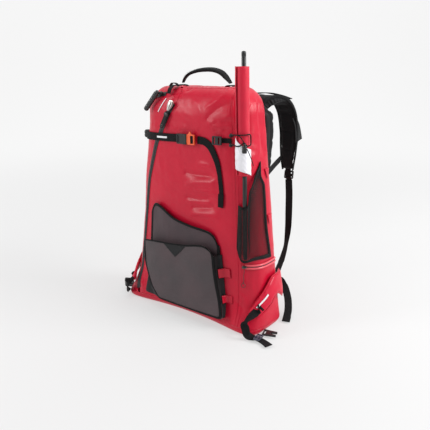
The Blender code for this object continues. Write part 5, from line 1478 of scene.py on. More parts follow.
def folded_binding(name, inner, outer, normal_of, material, nodes, thick=0.0030, closed=False, body="bag", thread=THREAD, lift=0.0):
    """Edge tape folded over a cloth's rim: a full, rounded section, with a row of stitches."""
    inner, outer = np.asarray(inner, float), np.asarray(outer, float)
    normals = unit_rows(np.array([normal_of(p) for p in (inner + outer) / 2]))
    width_way = inner - outer
    rows = []
    profile = [(-0.04, 0.10), (-0.05, 0.45), (0.0, 0.80), (0.12, 0.98), (0.35, 1.0), (0.60, 0.96), (0.82, 0.85), (0.97, 0.62), (1.0, 0.25), (0.98, -0.12), (0.5, -0.18), (0.02, -0.15)]
    for x, y in profile:
        rows.append(outer + width_way * x + normals * (y * thick + lift))
    ring = np.array(rows).transpose(1, 0, 2)
    s = np.concatenate([[0], np.cumsum(np.linalg.norm(np.diff((inner + outer) / 2, axis=0), axis=1))])
    wide = np.linalg.norm(width_way, axis=1).mean()
    u = np.array([x for x, _ in profile])[None, :] * wide + 0.5
    uv = np.stack([np.broadcast_to(u, (len(s), len(profile))), np.broadcast_to(s[:, None], (len(s), len(profile)))], -1)
    mesh = net(name, ring, uv, ring=True)
    bm = bmesh.new()
    bm.from_mesh(mesh)
    bm.verts.ensure_lookup_table()
    m = len(profile)
    last = (len(ring) - 1) * m
    if closed:
        bmesh.ops.remove_doubles(bm, verts=[bm.verts[j] for j in range(m)] + [bm.verts[last + j] for j in range(m)], dist=0.00005)
    else:
        bm.faces.new([bm.verts[j] for j in range(m)][::-1])
        bm.faces.new([bm.verts[last + j] for j in range(m)])
    bmesh.ops.recalc_face_normals(bm, faces=bm.faces)
    bm.to_mesh(mesh)
    bm.free()
    put(name, mesh, material, body, nodes, angle=60)
    seam = outer + width_way * 0.80 + normals * (0.86 * thick + lift)
    stitches(name + "_stitches", [(seam, normals)], thread, body)
    return normals


def outward(p):
    """The bag's own normal near a point in front of or beside it."""
    z = min(max(float(p[2]), 0.0), HEIGHT)
    l, x, y = section(z)
    j = int(np.hypot(x - abs(p[0]), y - p[1]).argmin())
    return skin_normal(math.copysign(l[j], p[0]), z)


t = np.linspace(0, 1, 140)
outer = eased(dense([mesh_border(k, 0.0) for k in t], 200), 4)
inner = eased(dense([mesh_border(k, 0.0098) for k in t], 200), 4)
folded_binding("upper_pocket_binding", inner, outer, outward, BINDING, ["front_mesh_binding"], 0.0030, lift=-0.0012)


def pocket_rim(inset):
    k = inset / 0.28
    made = [pocket_border(t, inset, 0.0022) for t in np.linspace(0, 1, 120)]
    for u in np.linspace(1 - k, k, 90)[1:]:
        made.append(pocket_point(u, 1 - k, 0.0022))
    return np.array(made)


outer = eased(dense(pocket_rim(0.0), 320), 4)
inner = eased(dense(pocket_rim(0.0072), 320), 4)
outer[-1] = outer[0]
inner[-1] = inner[0]
folded_binding("lower_pocket_binding", inner, outer, outward, BINDING, ["front_pocket_binding"], 0.0030, closed=True, lift=-0.0012)

# a dark V-shaped patch at the middle of the mouth, laid where a V notch shows the pocket's black inside: that cloth's
# own dark with painted shade
rows = []
for k in np.linspace(0, 1, 14):
    row = []
    for j in np.linspace(-1, 1, 17):
        half = 0.165 * (1 - k) + 0.004
        u = 0.49 + j * half
        v = 0.986 - 0.19 * k - 0.010 * (1 - abs(j)) * k
        row.append(pocket_point(u, v, 0.0026 + 0.0004 * (1 - abs(j) ** 4)))
    rows.append(row)
v_notch_shade_mesh = net("pocket_v_notch_shade", rows, flip=True)
put("pocket_v_notch_shade", v_notch_shade_mesh, PAD_BACK, "bag", solid=0.0008, offset=-1.0, angle=0)
edge = [pocket_point(0.49 - 0.160 * (1 - k), 0.984 - 0.185 * k, 0.0031) for k in np.linspace(0.04, 0.985, 30)] + [pocket_point(0.49 + 0.160 * (1 - k), 0.984 - 0.185 * k, 0.0031) for k in np.linspace(0.985, 0.04, 30)]
stitches("pocket_v_stitches", [(edge, [outward(p) for p in edge])], THREAD, "bag")

# the bellows between the lower pocket and the bag, with a soft pleat
rows = []
for t in np.linspace(0, 1, 150):
    root, tip = np.array(gusset_root(t)), np.array(pocket_border(t, 0.0, -0.0010))
    mid = (root + tip) / 2
    n = unit(tip - root)
    side = unit(np.array(pocket_border(min(1, t + 0.01), 0.0, 0)) - np.array(pocket_border(max(0, t - 0.01), 0.0, 0)))
    fold = unit(np.cross(n, side))
    row = []
    for k in np.linspace(0, 1, 11):
        pleat = -0.0035 * math.sin(math.pi * k) + 0.0012 * math.sin(3 * math.pi * k)
        row.append(root + (tip - root) * k - fold * pleat * (1.0 + 0.4 * math.sin(41 * t)))
    rows.append(row)
put("pocket_bellows", net("pocket_bellows", eased(np.array(rows), 2)), PAD_BACK, "bag", ["front_pocket_gusset"], solid=0.0008, offset=0.0, angle=0)
# two red weld tabs that cross the bellows on the right
for k, (z0, z1) in enumerate(((0.165, 0.194), (0.084, 0.108))):
    rows = []
    for z in np.linspace(z0, z1, 9):
        t = min(np.linspace(0.72, 1.0, 200), key=lambda q: abs(gusset_root(q)[2] - z))
        root, tip = np.array(gusset_root(t)), np.array(pocket_border(t, 0.0, -0.0010))
        s0 = mesh_right(z) + 0.030
        base = np.array(skin(s0, z, 0.0030))
        near = np.array(skin(mesh_right(z) + 0.012, z, 0.0040))
        side = unit(near - np.array(skin(mesh_right(z) - 0.02, z, 0.0040)))
        rows.append(through([base, near, root + side * 0.0034 + (tip - root) * 0.35, root + side * 0.0030 + (tip - root) * 0.80], 14))
    put("bellows_tab_%d" % (k + 1), net("bellows_tab_%d" % (k + 1), rows), RED_SEAM, "bag", solid=0.0011, offset=0.0, angle=0)

# ---------------------------------------------------------------- side pocket: an open diamond net round the pole
pts = {}
rows_n, cols_n = 84, 50
table = np.array([[side_point(u, v, 0.0012) for u in np.linspace(0, 1, 60)] for v in np.linspace(0, 1, 40)])


def table_point(u, v):
    x, y = min(max(u, 0.0), 1.0) * 59, min(max(v, 0.0), 1.0) * 39
    i, j = min(int(x), 58), min(int(y), 38)
    a, b = x - i, y - j
    return (table[j, i] * (1 - a) + table[j, i + 1] * a) * (1 - b) + (table[j + 1, i] * (1 - a) + table[j + 1, i + 1] * a) * b


verts, faces, key = [], [], {}


def vertex(i, j):
    if (i, j) not in key:
        key[(i, j)] = len(verts)
        verts.append(table_point(i / cols_n, j / rows_n))
    return key[(i, j)]


for j in range(1, rows_n):
    for i in range(1, cols_n):
        if (i + j) % 2 == 0:
            faces.append((vertex(i - 1, j), vertex(i, j - 1), vertex(i + 1, j), vertex(i, j + 1)))
mesh = bpy.data.meshes.new("side_pocket_net")
mesh.from_pydata([tuple(v) for v in verts], [], faces)
made = put("side_pocket_net", mesh, SIDE_NET, "bag", ["side_mesh_panel"], angle=0)
wires = made.modifiers.new("threads", "WIREFRAME")
wires.thickness = 0.0015
wires.offset = 0.0
wires.use_even_offset = False
wires.use_relative_offset = False


def side_rim(inset):
    k, h = inset / 0.13, inset / 0.2
    made = [side_point(k, v, 0.0012) for v in np.linspace(h, 1 - h, 60)]
    made += [side_point(u, 1 - h, 0.0012) for u in np.linspace(k, 1 - k, 80)[1:]]
    made += [side_point(1 - k, v, 0.0012) for v in np.linspace(1 - h, h, 70)[1:]]
    made += [side_point(u, h, 0.0012) for u in np.linspace(1 - k, k, 60)[1:]]
    return np.array(made)


def side_out(p):
    c = np.array([0.10, 0.0, p[2]])
    d = np.array([p[0], p[1], p[2]]) - c
    return unit([max(0.25, d[0]) if p[1] > -0.09 else d[0] * 1.0, d[1] * 0.9 if p[1] < 0 else d[1] * 0.2, 0.0]) * 0.5 + outward(p) * 0.5


outer = eased(dense(side_rim(0.0), 300), 3)
inner = eased(dense(side_rim(0.0085), 300), 3)
outer[-1], inner[-1] = outer[0], inner[0]
folded_binding("side_pocket_binding", inner, outer, side_out, BINDING, ["side_mesh_binding"], 0.0036, closed=True, lift=-0.0010)
# the two bright weld tabs behind the side pocket
for k, (s0, z0, s1, z1) in enumerate(((0.288, 0.501, 0.297, 0.470), (0.302, 0.360, 0.305, 0.330))):
    rows = []
    for q in np.linspace(0, 1, 8):
        width = 0.020 * (1 - q) + 0.002
        s, z = s0 + (s1 - s0) * q, z0 + (z1 - z0) * q
        rows.append([skin(s + width * j, z, 0.0030) for j in np.linspace(-0.3, 0.9, 7)])
    put("side_weld_tab_%d" % (k + 1), net("side_weld_tab_%d" % (k + 1), rows, flip=True), RED_FLAP, "bag", solid=0.0010, offset=0.0, angle=0)

# ---------------------------------------------------------------- compression strap
_, edges, _ = laid_strip("compression_webbing_left", front_path(-0.2180, -0.034, 0.580, 0.5850, 14), WEB_WIDTH, 0.0019, WEBBING, "bag", 0.0044, 120, ["compression_strap_left"], columns=13)
tail_path = [(0.0415, 0.5845), (0.055, 0.584), (0.070, 0.581), (0.090, 0.567), (0.105, 0.543), (0.117, 0.515), (0.126, 0.471), (0.131, 0.428), (0.129, 0.386)]
_, edges, mid = laid_strip("compression_webbing_tail", tail_path, np.interp(np.linspace(0, 1, 150), (0, 0.25, 0.55, 0.8, 1), (0.0235, 0.0215, 0.0155, 0.0145, 0.0175)), 0.0019, WEBBING, "bag", 0.0028, 150, ["compression_strap_right"], columns=13)
laid_strip("compression_tail_fold", tail_path[-2:], 0.0188, 0.0017, WEBBING, "bag", 0.0048, 30, columns=11)
laid_strip("compression_anchor_web", front_path(0.124, 0.1605, 0.589, 0.590, 5), 0.0145, 0.0019, WEBBING, "bag", 0.0022, 40, ["compression_strap_anchor"], columns=9)
bar_path = [(-0.128, 0.5822), (-0.082, 0.5836)]
laid_strip("reflective_mark", bar_path, 0.0060, 0.0003, REFLECT, "bag", 0.0064, 30, columns=5)
knob = [(0.0030, 0.0138), (0.0070, 0.0130), (0.0098, 0.0112), (0.0112, 0.0080), (0.0116, 0.0040), (0.0112, 0.0012), (0.0100, 0.0), (0.0112, -0.0012), (0.0116, -0.0040), (0.0112, -0.0080), (0.0098, -0.0112), (0.0070, -0.0130), (0.0030, -0.0138)]
put("strap_end_knob", lathe("strap_end_knob", knob, place_axes([1, 0, 0], [0, 0, 1], BALL)), PLASTIC, "bag", ["strap_anchor_left"])

# buckle halves: the CAD's shapes, with rounded rims, ribs and a raised frame
for node, material in (("female_buckle", PLASTIC), ("strap_ladder_lock", PLASTIC), ("male_buckle", ORANGE), ("pad_buckle_right", PLASTIC), ("pad_buckle_left", PLASTIC), ("lower_ladder_lock_right", PLASTIC), ("lower_ladder_lock_left", PLASTIC), ("hip_triglide_right", BLUE_GREY), ("hip_buckle_male", PLASTIC), ("hip_buckle_female", PLASTIC)):
    obj = NODES[node]
    obj.data.materials.clear()
    obj.data.materials.append(material)
    rim = obj.modifiers.new("rims", "BEVEL")
    rim.width = 0.0007
    rim.segments = 2
    rim.limit_method = "ANGLE"
    rim.angle_limit = math.radians(35)
    rim.use_clamp_overlap = True
front = place_axes([1, 0, 0], [0, -1, 0], (0, BUCKLE_Y, STRAP_Z))
ribs = [box_mesh("rib", (0.0009, 0.020, 0.0012), front @ Matrix.Translation((-0.0262 + 0.0028 * k, 0, 0.0054)), 0.0003, 1) for k in range(3)]
ribs += [box_mesh("rib", (0.016, 0.0011, 0.0012), front @ Matrix.Translation((-0.0010, y, 0.0054)), 0.0003, 1) for y in (-0.0125, 0.0125)]
put("female_buckle_ribs", joined("female_buckle_ribs", ribs), PLASTIC, "bag")
prow = flat_plate("male_buckle_crest", [[(0.0100, 0.0150), (0.0300, 0.0150), (0.0235, 0.0186), (0.0205, 0.0236), (0.0180, 0.0236), (0.0155, 0.0186)]], 0.0036, front, 0.0007)
rail = [flat_plate("rail", [[(0.0088, -0.0156), (0.0118, -0.0156), (0.0118, 0.0156), (0.0088, 0.0156)]], 0.0066, front, 0.0010),
        flat_plate("rail", [[(0.0352, -0.0150), (0.0378, -0.0150), (0.0378, 0.0150), (0.0352, 0.0150)]], 0.0058, front, 0.0010)]
put("male_buckle_crest", joined("male_buckle_crest", [prow] + rail), ORANGE, "male_buckle", angle=35)
# the webbing shows through the male half's window
put("buckle_window_web", box_mesh("buckle_window_web", (0.0112, 0.0232, 0.0016), place_axes([1, 0, 0], [0, -1, 0], (0.0277, BUCKLE_Y, STRAP_Z)), 0.0004, 1), WEBBING, "male_buckle")

# ---------------------------------------------------------------- flag
axis = np.array((POLE_TOP - POLE_FOOT).normalized())
m_pole = place_axes([0, 1, 0], axis, POLE_TOP)
pole = [(POLE_RADIUS * 0.35, 0.0004), (POLE_RADIUS * 0.75, -0.0004), (POLE_RADIUS * 0.95, -0.0022), (POLE_RADIUS, -0.0050), (POLE_RADIUS, -0.0140), (POLE_RADIUS - 0.0006, -0.0148), (POLE_RADIUS - 0.0006, -0.0156), (POLE_RADIUS, -0.0164)]
for k in (0.30, 0.335, 0.52, 0.524):
    pole += [(POLE_RADIUS, -k * POLE_LENGTH + 0.001), (POLE_RADIUS - 0.0004, -k * POLE_LENGTH), (POLE_RADIUS, -k * POLE_LENGTH - 0.001)]
pole += [(POLE_RADIUS, -POLE_LENGTH + 0.003), (POLE_RADIUS - 0.0012, -POLE_LENGTH + 0.0006), (POLE_RADIUS - 0.003, -POLE_LENGTH)]
pole = sorted(pole, key=lambda q: -q[1])
put("pole_tube", lathe("pole_tube", pole, m_pole, 32), POLE_LOOK, "flag", ["flag_pole"])


def flag_section(turns, phase, wave_seed):
    """One rolled layer of the flag: an open sheet wound round the pole."""
    count = 170
    t = np.linspace(0, turns * 2 * math.pi, count)
    inner_r = POLE_RADIUS + 0.0012
    r = inner_r + (ROLL_RADIUS - inner_r) * (t / t[-1]) ** 0.8
    return t + phase, r


def build_roll():
    t, r = flag_section(3.2, math.radians(-200), 4)
    z_rows = np.linspace(ROLL_Z[0], ROLL_Z[1], 60)
    rows = []
    for z in z_rows:
        c = np.array(pole_at(z)) + np.array([ROLL_SHIFT, 0, 0])
        inner = np.exp(-(t - t[0]) / 5.0)
        c_all = c[None, :] - np.array([[ROLL_SHIFT, 0, 0]]) * inner[:, None]
        swell = 0.0006 * waves(np.stack([t * 0.02, np.full_like(t, z)], -1), 0.05, 41, 2) * (t / t[-1])
        squeeze = 1 - 0.045 * np.exp(-((z - 0.600) / 0.020) ** 2) * (t / t[-1])
        rr = (r + swell) * squeeze
        rows.append(np.stack([c_all[:, 0] + rr * np.cos(t), c_all[:, 1] + rr * np.sin(t), np.full_like(t, z)], -1))
    rows = np.array(rows)
    arc = np.concatenate([[0], np.cumsum(np.linalg.norm(np.diff(rows[0], axis=0), axis=1))])
    uv = np.stack([np.broadcast_to(arc[None, :], rows.shape[:2]), np.broadcast_to(z_rows[:, None], rows.shape[:2])], -1)
    mesh = net("rolled_flag", rows, uv)
    return mesh, arc[-1], rows


roll_mesh, roll_width, roll_rows = build_roll()
rolled = put("rolled_flag", roll_mesh, FLAG_RED, "flag", ["flag_roll"], solid=0.0006, offset=0.0, angle=0)


def on_roll(x_px, z, off=0.0009):
    """A point on the roll's outside by its angle."""
    c = np.array(pole_at(z)) + np.array([ROLL_SHIFT, 0, 0])
    squeeze = 1 - 0.045 * math.exp(-((z - 0.600) / 0.020) ** 2)
    r = ROLL_RADIUS * squeeze + off
    return np.array([c[0] + r * math.cos(x_px), c[1] + r * math.sin(x_px), z])


# the white panel of the flag, seen on the outer turn
a0, a1 = math.radians(-142), math.radians(34)
rows = []
for k in np.linspace(0, 1, 40):
    a = a0 + (a1 - a0) * k
    top = 0.606 - 0.036 * k - 0.006 * math.sin(math.pi * k)
    low = 0.516 - 0.010 * k - 0.012 * k * k
    rows.append([on_roll(a, low + (top - low) * j, 0.0021 + 0.0004 * math.sin(9 * a + 30 * j)) for j in np.linspace(0, 1, 30)])
put("flag_white_panel", net("flag_white_panel", rows), FLAG_WHITE, "flag", solid=0.0005, offset=0.0, angle=0)
# the outer edge of the cloth, hemmed
edge = roll_rows[:, -1]
hem_out = unit_rows(np.stack([edge[:, 0] - (np.array([pole_at(z)[0] for z in edge[:, 2]]) + ROLL_SHIFT), edge[:, 1] + 0.088, 0 * edge[:, 0]], -1))
side = np.cross(hem_out, axis)
put("flag_hem", swept("flag_hem", edge + hem_out * 0.0004 - side * 0.003, side, 0.0080, 0.0011), FLAG_RED, "flag")
stitches("flag_hem_stitches", [(edge + hem_out * 0.0010 - side * 0.0002, hem_out)], RED_THREAD, "flag")

# ---------------------------------------------------------------- bungee
line = through(route, 260)
put("bungee_loop", rope("bungee_loop", line, CORD_R, 12), CORD_LOOK, "bag", ["bungee_cord"], angle=0)
cross = [round_roll(math.radians(-86), HIGH - 0.004, 0.0010), round_roll(math.radians(-66), 0.6040, 0.0012), round_roll(math.radians(-52), 0.5945, 0.0018), LOCK_TOP + np.array([-0.001, 0.001, 0.006])]
put("bungee_cross", rope("bungee_cross", through(cross, 40), 0.0013, 10), CORD_LOOK, "bag", angle=0)
for tag, s, z in (("high", 0.158, 0.605), ("low", 0.158, 0.577)):
    at = skin(s, z)
    n = skin_normal(s, z)
    put("bungee_anchor_" + tag, lathe("bungee_anchor_" + tag, [(0.0016, 0.0062), (0.0030, 0.0058), (0.0042, 0.0044), (0.0056, 0.0030), (0.0060, 0.0016), (0.0060, 0.0)], place_axes(np.cross(n, [0, 0, 1.0]), n, at), 24), PLASTIC, "bag")
lock = [(0.0046, 0.0), (0.0062, -0.0003), (0.0071, -0.0014), (0.0072, -0.0055), (0.0066, -0.0068), (0.0066, -0.0082), (0.0072, -0.0096), (0.0072, -0.0185), (0.0064, -0.0204), (0.0045, -0.0212)]
outer_mesh = lathe("cord_lock_barrel", lock, place_axes([1, 0, 0], [0, 0, 1], LOCK_TOP))
put("cord_lock_barrel", outer_mesh, PLASTIC, "bag", ["cord_lock_body"], angle=40)
button = [(0.0012, 0.0056), (0.0026, 0.0053), (0.0033, 0.0044), (0.0035, 0.0030), (0.0035, -0.0005)]
put("cord_lock_plunger", lathe("cord_lock_plunger", button, place_axes([1, 0, 0], [0, 0, 1], LOCK_TOP), 30), PLASTIC, "cord_lock_button", ["cord_lock_button"], angle=40)

# ---------------------------------------------------------------- handle
arch_line = through(arch, 90)
wide = np.interp(np.linspace(0, 1, 90), (0, 0.12, 0.88, 1), (0.0150, 0.0240, 0.0240, 0.0150))
thick = np.interp(np.linspace(0, 1, 90), (0, 0.08, 0.2, 0.5, 0.8, 0.92, 1), (0.0026, 0.0060, 0.0098, 0.0112, 0.0098, 0.0060, 0.0026))
sleeve = [(math.copysign(abs(math.cos(a)) ** 0.6, math.cos(a)), math.copysign(abs(math.sin(a)) ** 0.8, math.sin(a))) for a in np.linspace(0, 2 * math.pi, 28, endpoint=False)]
put("handle_sleeve", swept("handle_sleeve", arch_line, (0, 1.0, 0.30), wide, thick, sleeve), WEBBING, "top_handle", ["top_handle"], angle=0)
run = unit_rows(np.gradient(arch_line, axis=0))
up = np.cross(run, [0.0, 1.0, 0.0])
up *= np.sign(up[len(up) // 2, 2])
lines = []
for k in (-0.34, 0.34):
    pts_line = arch_line + np.array([0.0, 1.0, 0.0]) * (wide * k)[:, None] + up * (thick * 0.46)[:, None]
    lines.append((pts_line[8:-8], up[8:-8]))
stitches("handle_stitches", lines, THREAD, "top_handle")
for name, x, node in (("handle_foot_left", -0.1005, "handle_anchor_left"), ("handle_foot_right", 0.0945, "handle_anchor_right")):
    foot = [(x - 0.016, HANDLE_Y, HEIGHT + 0.0010), (x - 0.010, HANDLE_Y, HEIGHT + 0.0032), (x, HANDLE_Y, HEIGHT + 0.0045), (x + 0.010, HANDLE_Y, HEIGHT + 0.0032), (x + 0.016, HANDLE_Y, HEIGHT + 0.0010)]
    put(name, swept(name, through(foot, 24), (0, 1, 0), 0.0245, 0.0022), WEBBING, "bag", [node])
    box = [(x - 0.011, HANDLE_Y - 0.009, HEIGHT + 0.0046), (x - 0.011, HANDLE_Y + 0.009, HEIGHT + 0.0046)]
    box2 = [(x + 0.011, HANDLE_Y - 0.009, HEIGHT + 0.0046), (x + 0.011, HANDLE_Y + 0.009, HEIGHT + 0.0046)]
    stitches(name + "_stitches", [(box, [(0, 0, 1)] * 2), (box2, [(0, 0, 1)] * 2)], THREAD, "bag")
# a webbing strip that runs down over the front from the left foot, and its lash loop
loop = through([np.array(p) for p in ([-0.1010, -0.0480, HEIGHT + 0.0012], [-0.0900, -0.0500, HEIGHT + 0.0100], [-0.0740, -0.0500, HEIGHT + 0.0085], [-0.0660, -0.0500, HEIGHT + 0.0010])], 34)
put("lash_loop_left", swept("lash_loop_left", loop, (0, 1, 0), 0.0120, 0.0022), WEBBING, "bag")
tongue = through([np.array(p) for p in ([-0.0830, -0.0400, HEIGHT + 0.0030], [-0.0830, -0.0560, HEIGHT + 0.0024], [-0.0832, -0.0680, HEIGHT - 0.0050], [-0.0834, -0.0735, HEIGHT - 0.0140], [-0.0836, -0.0755, HEIGHT - 0.0215])], 26)
put("lash_tongue_left", swept("lash_tongue_left", tongue, (1, 0, 0), 0.0140, 0.0030), WEBBING, "bag")


# ---------------------------------------------------------------- padded pieces by cloth simulation
def prepared(name, mesh, shrink, voxel=0.005):
    """A slightly smaller, evenly remeshed copy, ready to be inflated."""
    made = bpy.data.objects.new(name, mesh)
    scene.collection.objects.link(made)
    count = len(mesh.vertices)
    bm = bmesh.new()
    bm.from_mesh(mesh)
    bmesh.ops.recalc_face_normals(bm, faces=bm.faces)
    bm.normal_update()
    for v in bm.verts:
        v.co -= v.normal * shrink
    bm.to_mesh(mesh)
    bm.free()
    remesh = made.modifiers.new("even", "REMESH")
    remesh.mode = "VOXEL"
    remesh.voxel_size = voxel
    graph = bpy.context.evaluated_depsgraph_get()
    even = bpy.data.meshes.new_from_object(made.evaluated_get(graph))
    made.modifiers.clear()
    made.data = even
    return made


def inflate(pieces, pressure=4.0, frames=14, cap=0.005):
    """Inflates closed cloth pieces together, caps how far a point moves, and applies the result."""
    starts = {}
    for obj in pieces:
        starts[obj.name] = np.array([v.co for v in obj.data.vertices])
        cloth = obj.modifiers.new("cloth", "CLOTH")
        settings = cloth.settings
        settings.quality = 4
        settings.mass = 0.3
        settings.tension_stiffness = settings.compression_stiffness = 18
        settings.shear_stiffness = 8
        settings.bending_stiffness = 0.6
        settings.use_pressure = True
        settings.uniform_pressure_force = pressure
        settings.effector_weights.gravity = 0
        cloth.collision_settings.use_collision = False
        cloth.collision_settings.use_self_collision = False
        cloth.point_cache.frame_start = 1
        cloth.point_cache.frame_end = frames
    for frame_number in range(1, frames + 1):
        scene.frame_set(frame_number)
    graph = bpy.context.evaluated_depsgraph_get()
    for obj in pieces:
        start = starts[obj.name]
        made = obj.evaluated_get(graph).to_mesh()
        end = np.array([v.co for v in made.vertices])
        obj.evaluated_get(graph).to_mesh_clear()
        obj.modifiers.clear()
        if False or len(end) != len(start) or not np.isfinite(end).all():
            end = start
        move = end - start
        move -= move.mean(0)
        far = np.linalg.norm(move, axis=1, keepdims=True)
        move *= np.minimum(1.0, cap / np.maximum(far, 1e-9))
        obj.data.vertices.foreach_set("co", (start + move).astype(np.float32).ravel())
        obj.data.update()
    scene.frame_set(1)


def displaced(obj, rule):
    """Moves each point along its normal by rule(points, normals), in metres."""
    mesh = obj.data
    points = np.array([v.co for v in mesh.vertices])
    normals = np.array([v.normal for v in mesh.vertices])
    points = points + normals * rule(points, normals)[:, None]
    mesh.vertices.foreach_set("co", points.astype(np.float32).ravel())
    mesh.update()


def eased_mesh(obj, times=2, factor=0.5):
    mesh = obj.data
    points = np.array([v.co for v in mesh.vertices])
    edges = np.array([e.vertices[:] for e in mesh.edges])
    for _ in range(times):
        total = np.zeros_like(points)
        count = np.zeros(len(points))
        np.add.at(total, edges[:, 0], points[edges[:, 1]])
        np.add.at(total, edges[:, 1], points[edges[:, 0]])
        np.add.at(count, edges[:, 0], 1)
        np.add.at(count, edges[:, 1], 1)
        points = points * (1 - factor) + factor * total / np.maximum(count, 1)[:, None]
    mesh.vertices.foreach_set("co", points.astype(np.float32).ravel())
    mesh.update()


def rounder(obj):
    soft = obj.modifiers.new("rounder", "SUBSURF")
    soft.levels = soft.render_levels = 1


def cad_copy(node):
    mesh = NODES[node].data.copy()
    bm = bmesh.new()
    bm.from_mesh(mesh)
    bmesh.ops.remove_doubles(bm, verts=bm.verts, dist=0.00001)
    bm.to_mesh(mesh)
    bm.free()
    return mesh


pad_right = prepared("shoulder_pad_foam_right", cad_copy("shoulder_pad_right"), 0.0012, 0.0045)
pad_left = prepared("shoulder_pad_foam_left", cad_copy("shoulder_pad_left"), 0.0012, 0.0045)
back = prepared("back_pad_foam", cad_copy("back_pad"), 0.0015, 0.0055)
wing_right = prepared("hip_wing_padded_right", cad_copy("hip_wing_right"), 0.0010, 0.0042)
wing_left = prepared("hip_wing_padded_left", cad_copy("hip_wing_left"), 0.0010, 0.0042)
inflate([pad_right, pad_left, back, wing_right, wing_left], 3.5, 14, 0.0050)

PAD_CENTRE = through(PAD_LINE, 80)
PAD_WIDTHS = np.interp(np.linspace(0, 1, 80), np.linspace(0, 1, 9), PAD_WIDE)


def pad_rule(points, normals):
    """Sewn channels: one along each edge and a few across."""
    at = points * [1, 1, 1]
    q = np.abs(at)
    centre = PAD_CENTRE[:, None, :] - np.stack([q[:, 0], at[:, 1], at[:, 2]], -1)[None]
    near = np.linalg.norm(centre * [0.35, 1, 1], axis=2).argmin(0)
    x = (np.stack([q[:, 0]], -1)[:, 0] - PAD_CENTRE[near, 0]) / PAD_WIDTHS[near]
    out = -0.0016 * np.exp(-((np.abs(x) - 0.36) / 0.035) ** 2)
    for k in (0.30, 0.48, 0.66, 0.82):
        out -= 0.0013 * np.exp(-((near / 79 - k) / 0.012) ** 2) * (np.abs(x) < 0.37)
    # the yoke: deeper below the root, where the pad joins the back
    out += 0.020 * (1 - fade(near.astype(float), 14, 34)) * fade(-normals[:, 2], 0.1, 0.7)
    return out


for obj, side in ((pad_right, "right"), (pad_left, "left")):
    eased_mesh(obj, 2)
    rounder_first = obj.modifiers.new("finer", "SUBSURF")
    rounder_first.levels = rounder_first.render_levels = 1
    graph = bpy.context.evaluated_depsgraph_get()
    finer = bpy.data.meshes.new_from_object(obj.evaluated_get(graph))
    obj.modifiers.clear()
    obj.data = finer
    displaced(obj, pad_rule)
    obj.data.materials.clear()
    obj.data.materials.append(PADDING)
    obj.data.shade_smooth()
    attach(obj, "bag")
    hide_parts("shoulder_pad_" + side)


def back_rule(points, normals):
    x, z = np.abs(points[:, 0]), points[:, 2]
    outer_face = fade(normals[:, 1], 0.3, 0.8)
    out = -0.0035 * np.exp(-((x - 0.030) / 0.010) ** 2) - 0.0025 * np.exp(-((x - 0.105) / 0.006) ** 2)
    for k in (0.455, 0.515, 0.575, 0.635):
        out -= 0.0022 * np.exp(-((z - k) / 0.0045) ** 2) * (x > 0.034)
    out += 0.018 * fade(z, 0.44, 0.54) * (1 - fade(x, 0.150, 0.172) * 0.3)
    return out * outer_face


eased_mesh(back, 2)
finer_mod = back.modifiers.new("finer", "SUBSURF")
finer_mod.levels = finer_mod.render_levels = 1
graph = bpy.context.evaluated_depsgraph_get()
finer = bpy.data.meshes.new_from_object(back.evaluated_get(graph))
back.modifiers.clear()
back.data = finer
displaced(back, back_rule)
back.data.materials.clear()
back.data.materials.append(PADDING)
back.data.shade_smooth()
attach(back, "bag")
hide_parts("back_pad")


def wing_point(u, v, extra, side):
    drop, puff = (0.0, 0.009) if side == "right" else (0.014, 0.003)
    top_s = smooth_value(u, (0, 0.35, 0.68, 1), (0.372, 0.312, 0.268, 0.240))
    top_z = smooth_value(u, (0, 0.35, 0.68, 1), (0.170, 0.168, 0.122, 0.070))
    low_s = smooth_value(u, (0, 0.35, 0.68, 1), (0.376, 0.326, 0.290, 0.268))
    low_z = smooth_value(u, (0, 0.35, 0.68, 1), (0.085, 0.112, 0.080, 0.054))
    s = top_s * (1 - v) + low_s * v
    z = top_z * (1 - v) + low_z * v - drop * min(1.0, 2 * u)
    p = skin(s, z, 0.0058 + puff * v * min(1.0, 0.35 + 1.6 * u) + extra)
    return p if side == "right" else mirror_x(p)


for obj, side in ((wing_right, "right"), (wing_left, "left")):
    eased_mesh(obj, 2)
    displaced(obj, lambda p, n: 0.0009 * waves(p, 0.05, 51, 2))
    obj.data.materials.clear()
    obj.data.materials.append(RED_FLAP)
    obj.data.shade_smooth()
    rounder(obj)
    body = "hip_wing_" + side
    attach(obj, body)
    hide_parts(body)
    # the flat welded border round the wing
    flip = 1.0 if side == "right" else -1.0
    rim = [wing_point(u, 0.0, 0.0052, side) for u in np.linspace(0.03, 1, 60)] + [wing_point(1.0, v, 0.0052, side) for v in np.linspace(0, 1, 14)[1:]] + [wing_point(u, 1.0, 0.0052, side) for u in np.linspace(1, 0.03, 60)[1:]]
    rim = eased(dense(rim, 150), 4)
    n = np.array([outward(p if side == "right" else mirror_x(p)) for p in rim])
    if side == "left":
        n[:, 0] *= -1
    run = unit_rows(np.gradient(rim, axis=0))
    put("wing_border_" + side, swept("wing_border_" + side, rim, np.cross(run, n), 0.0050, 0.0028), RED_SEAM, body)
mark = []
for k in np.linspace(0, 1, 24):
    u = 0.60 + 0.27 * k
    mark.append([wing_point(u, v, 0.0116, "right") for v in (0.24, 0.30, 0.36)])
put("wing_reflective_bar", net("wing_reflective_bar", mark), REFLECT, "hip_wing_right", solid=0.0004, offset=0.0, angle=0)


# ---------------------------------------------------------------- harness webbing
TAIL_FACE_START = np.array(WEB_LINE[0], float)


def rounded_line(points, count):
    return through([np.array(p, float) for p in points], count)


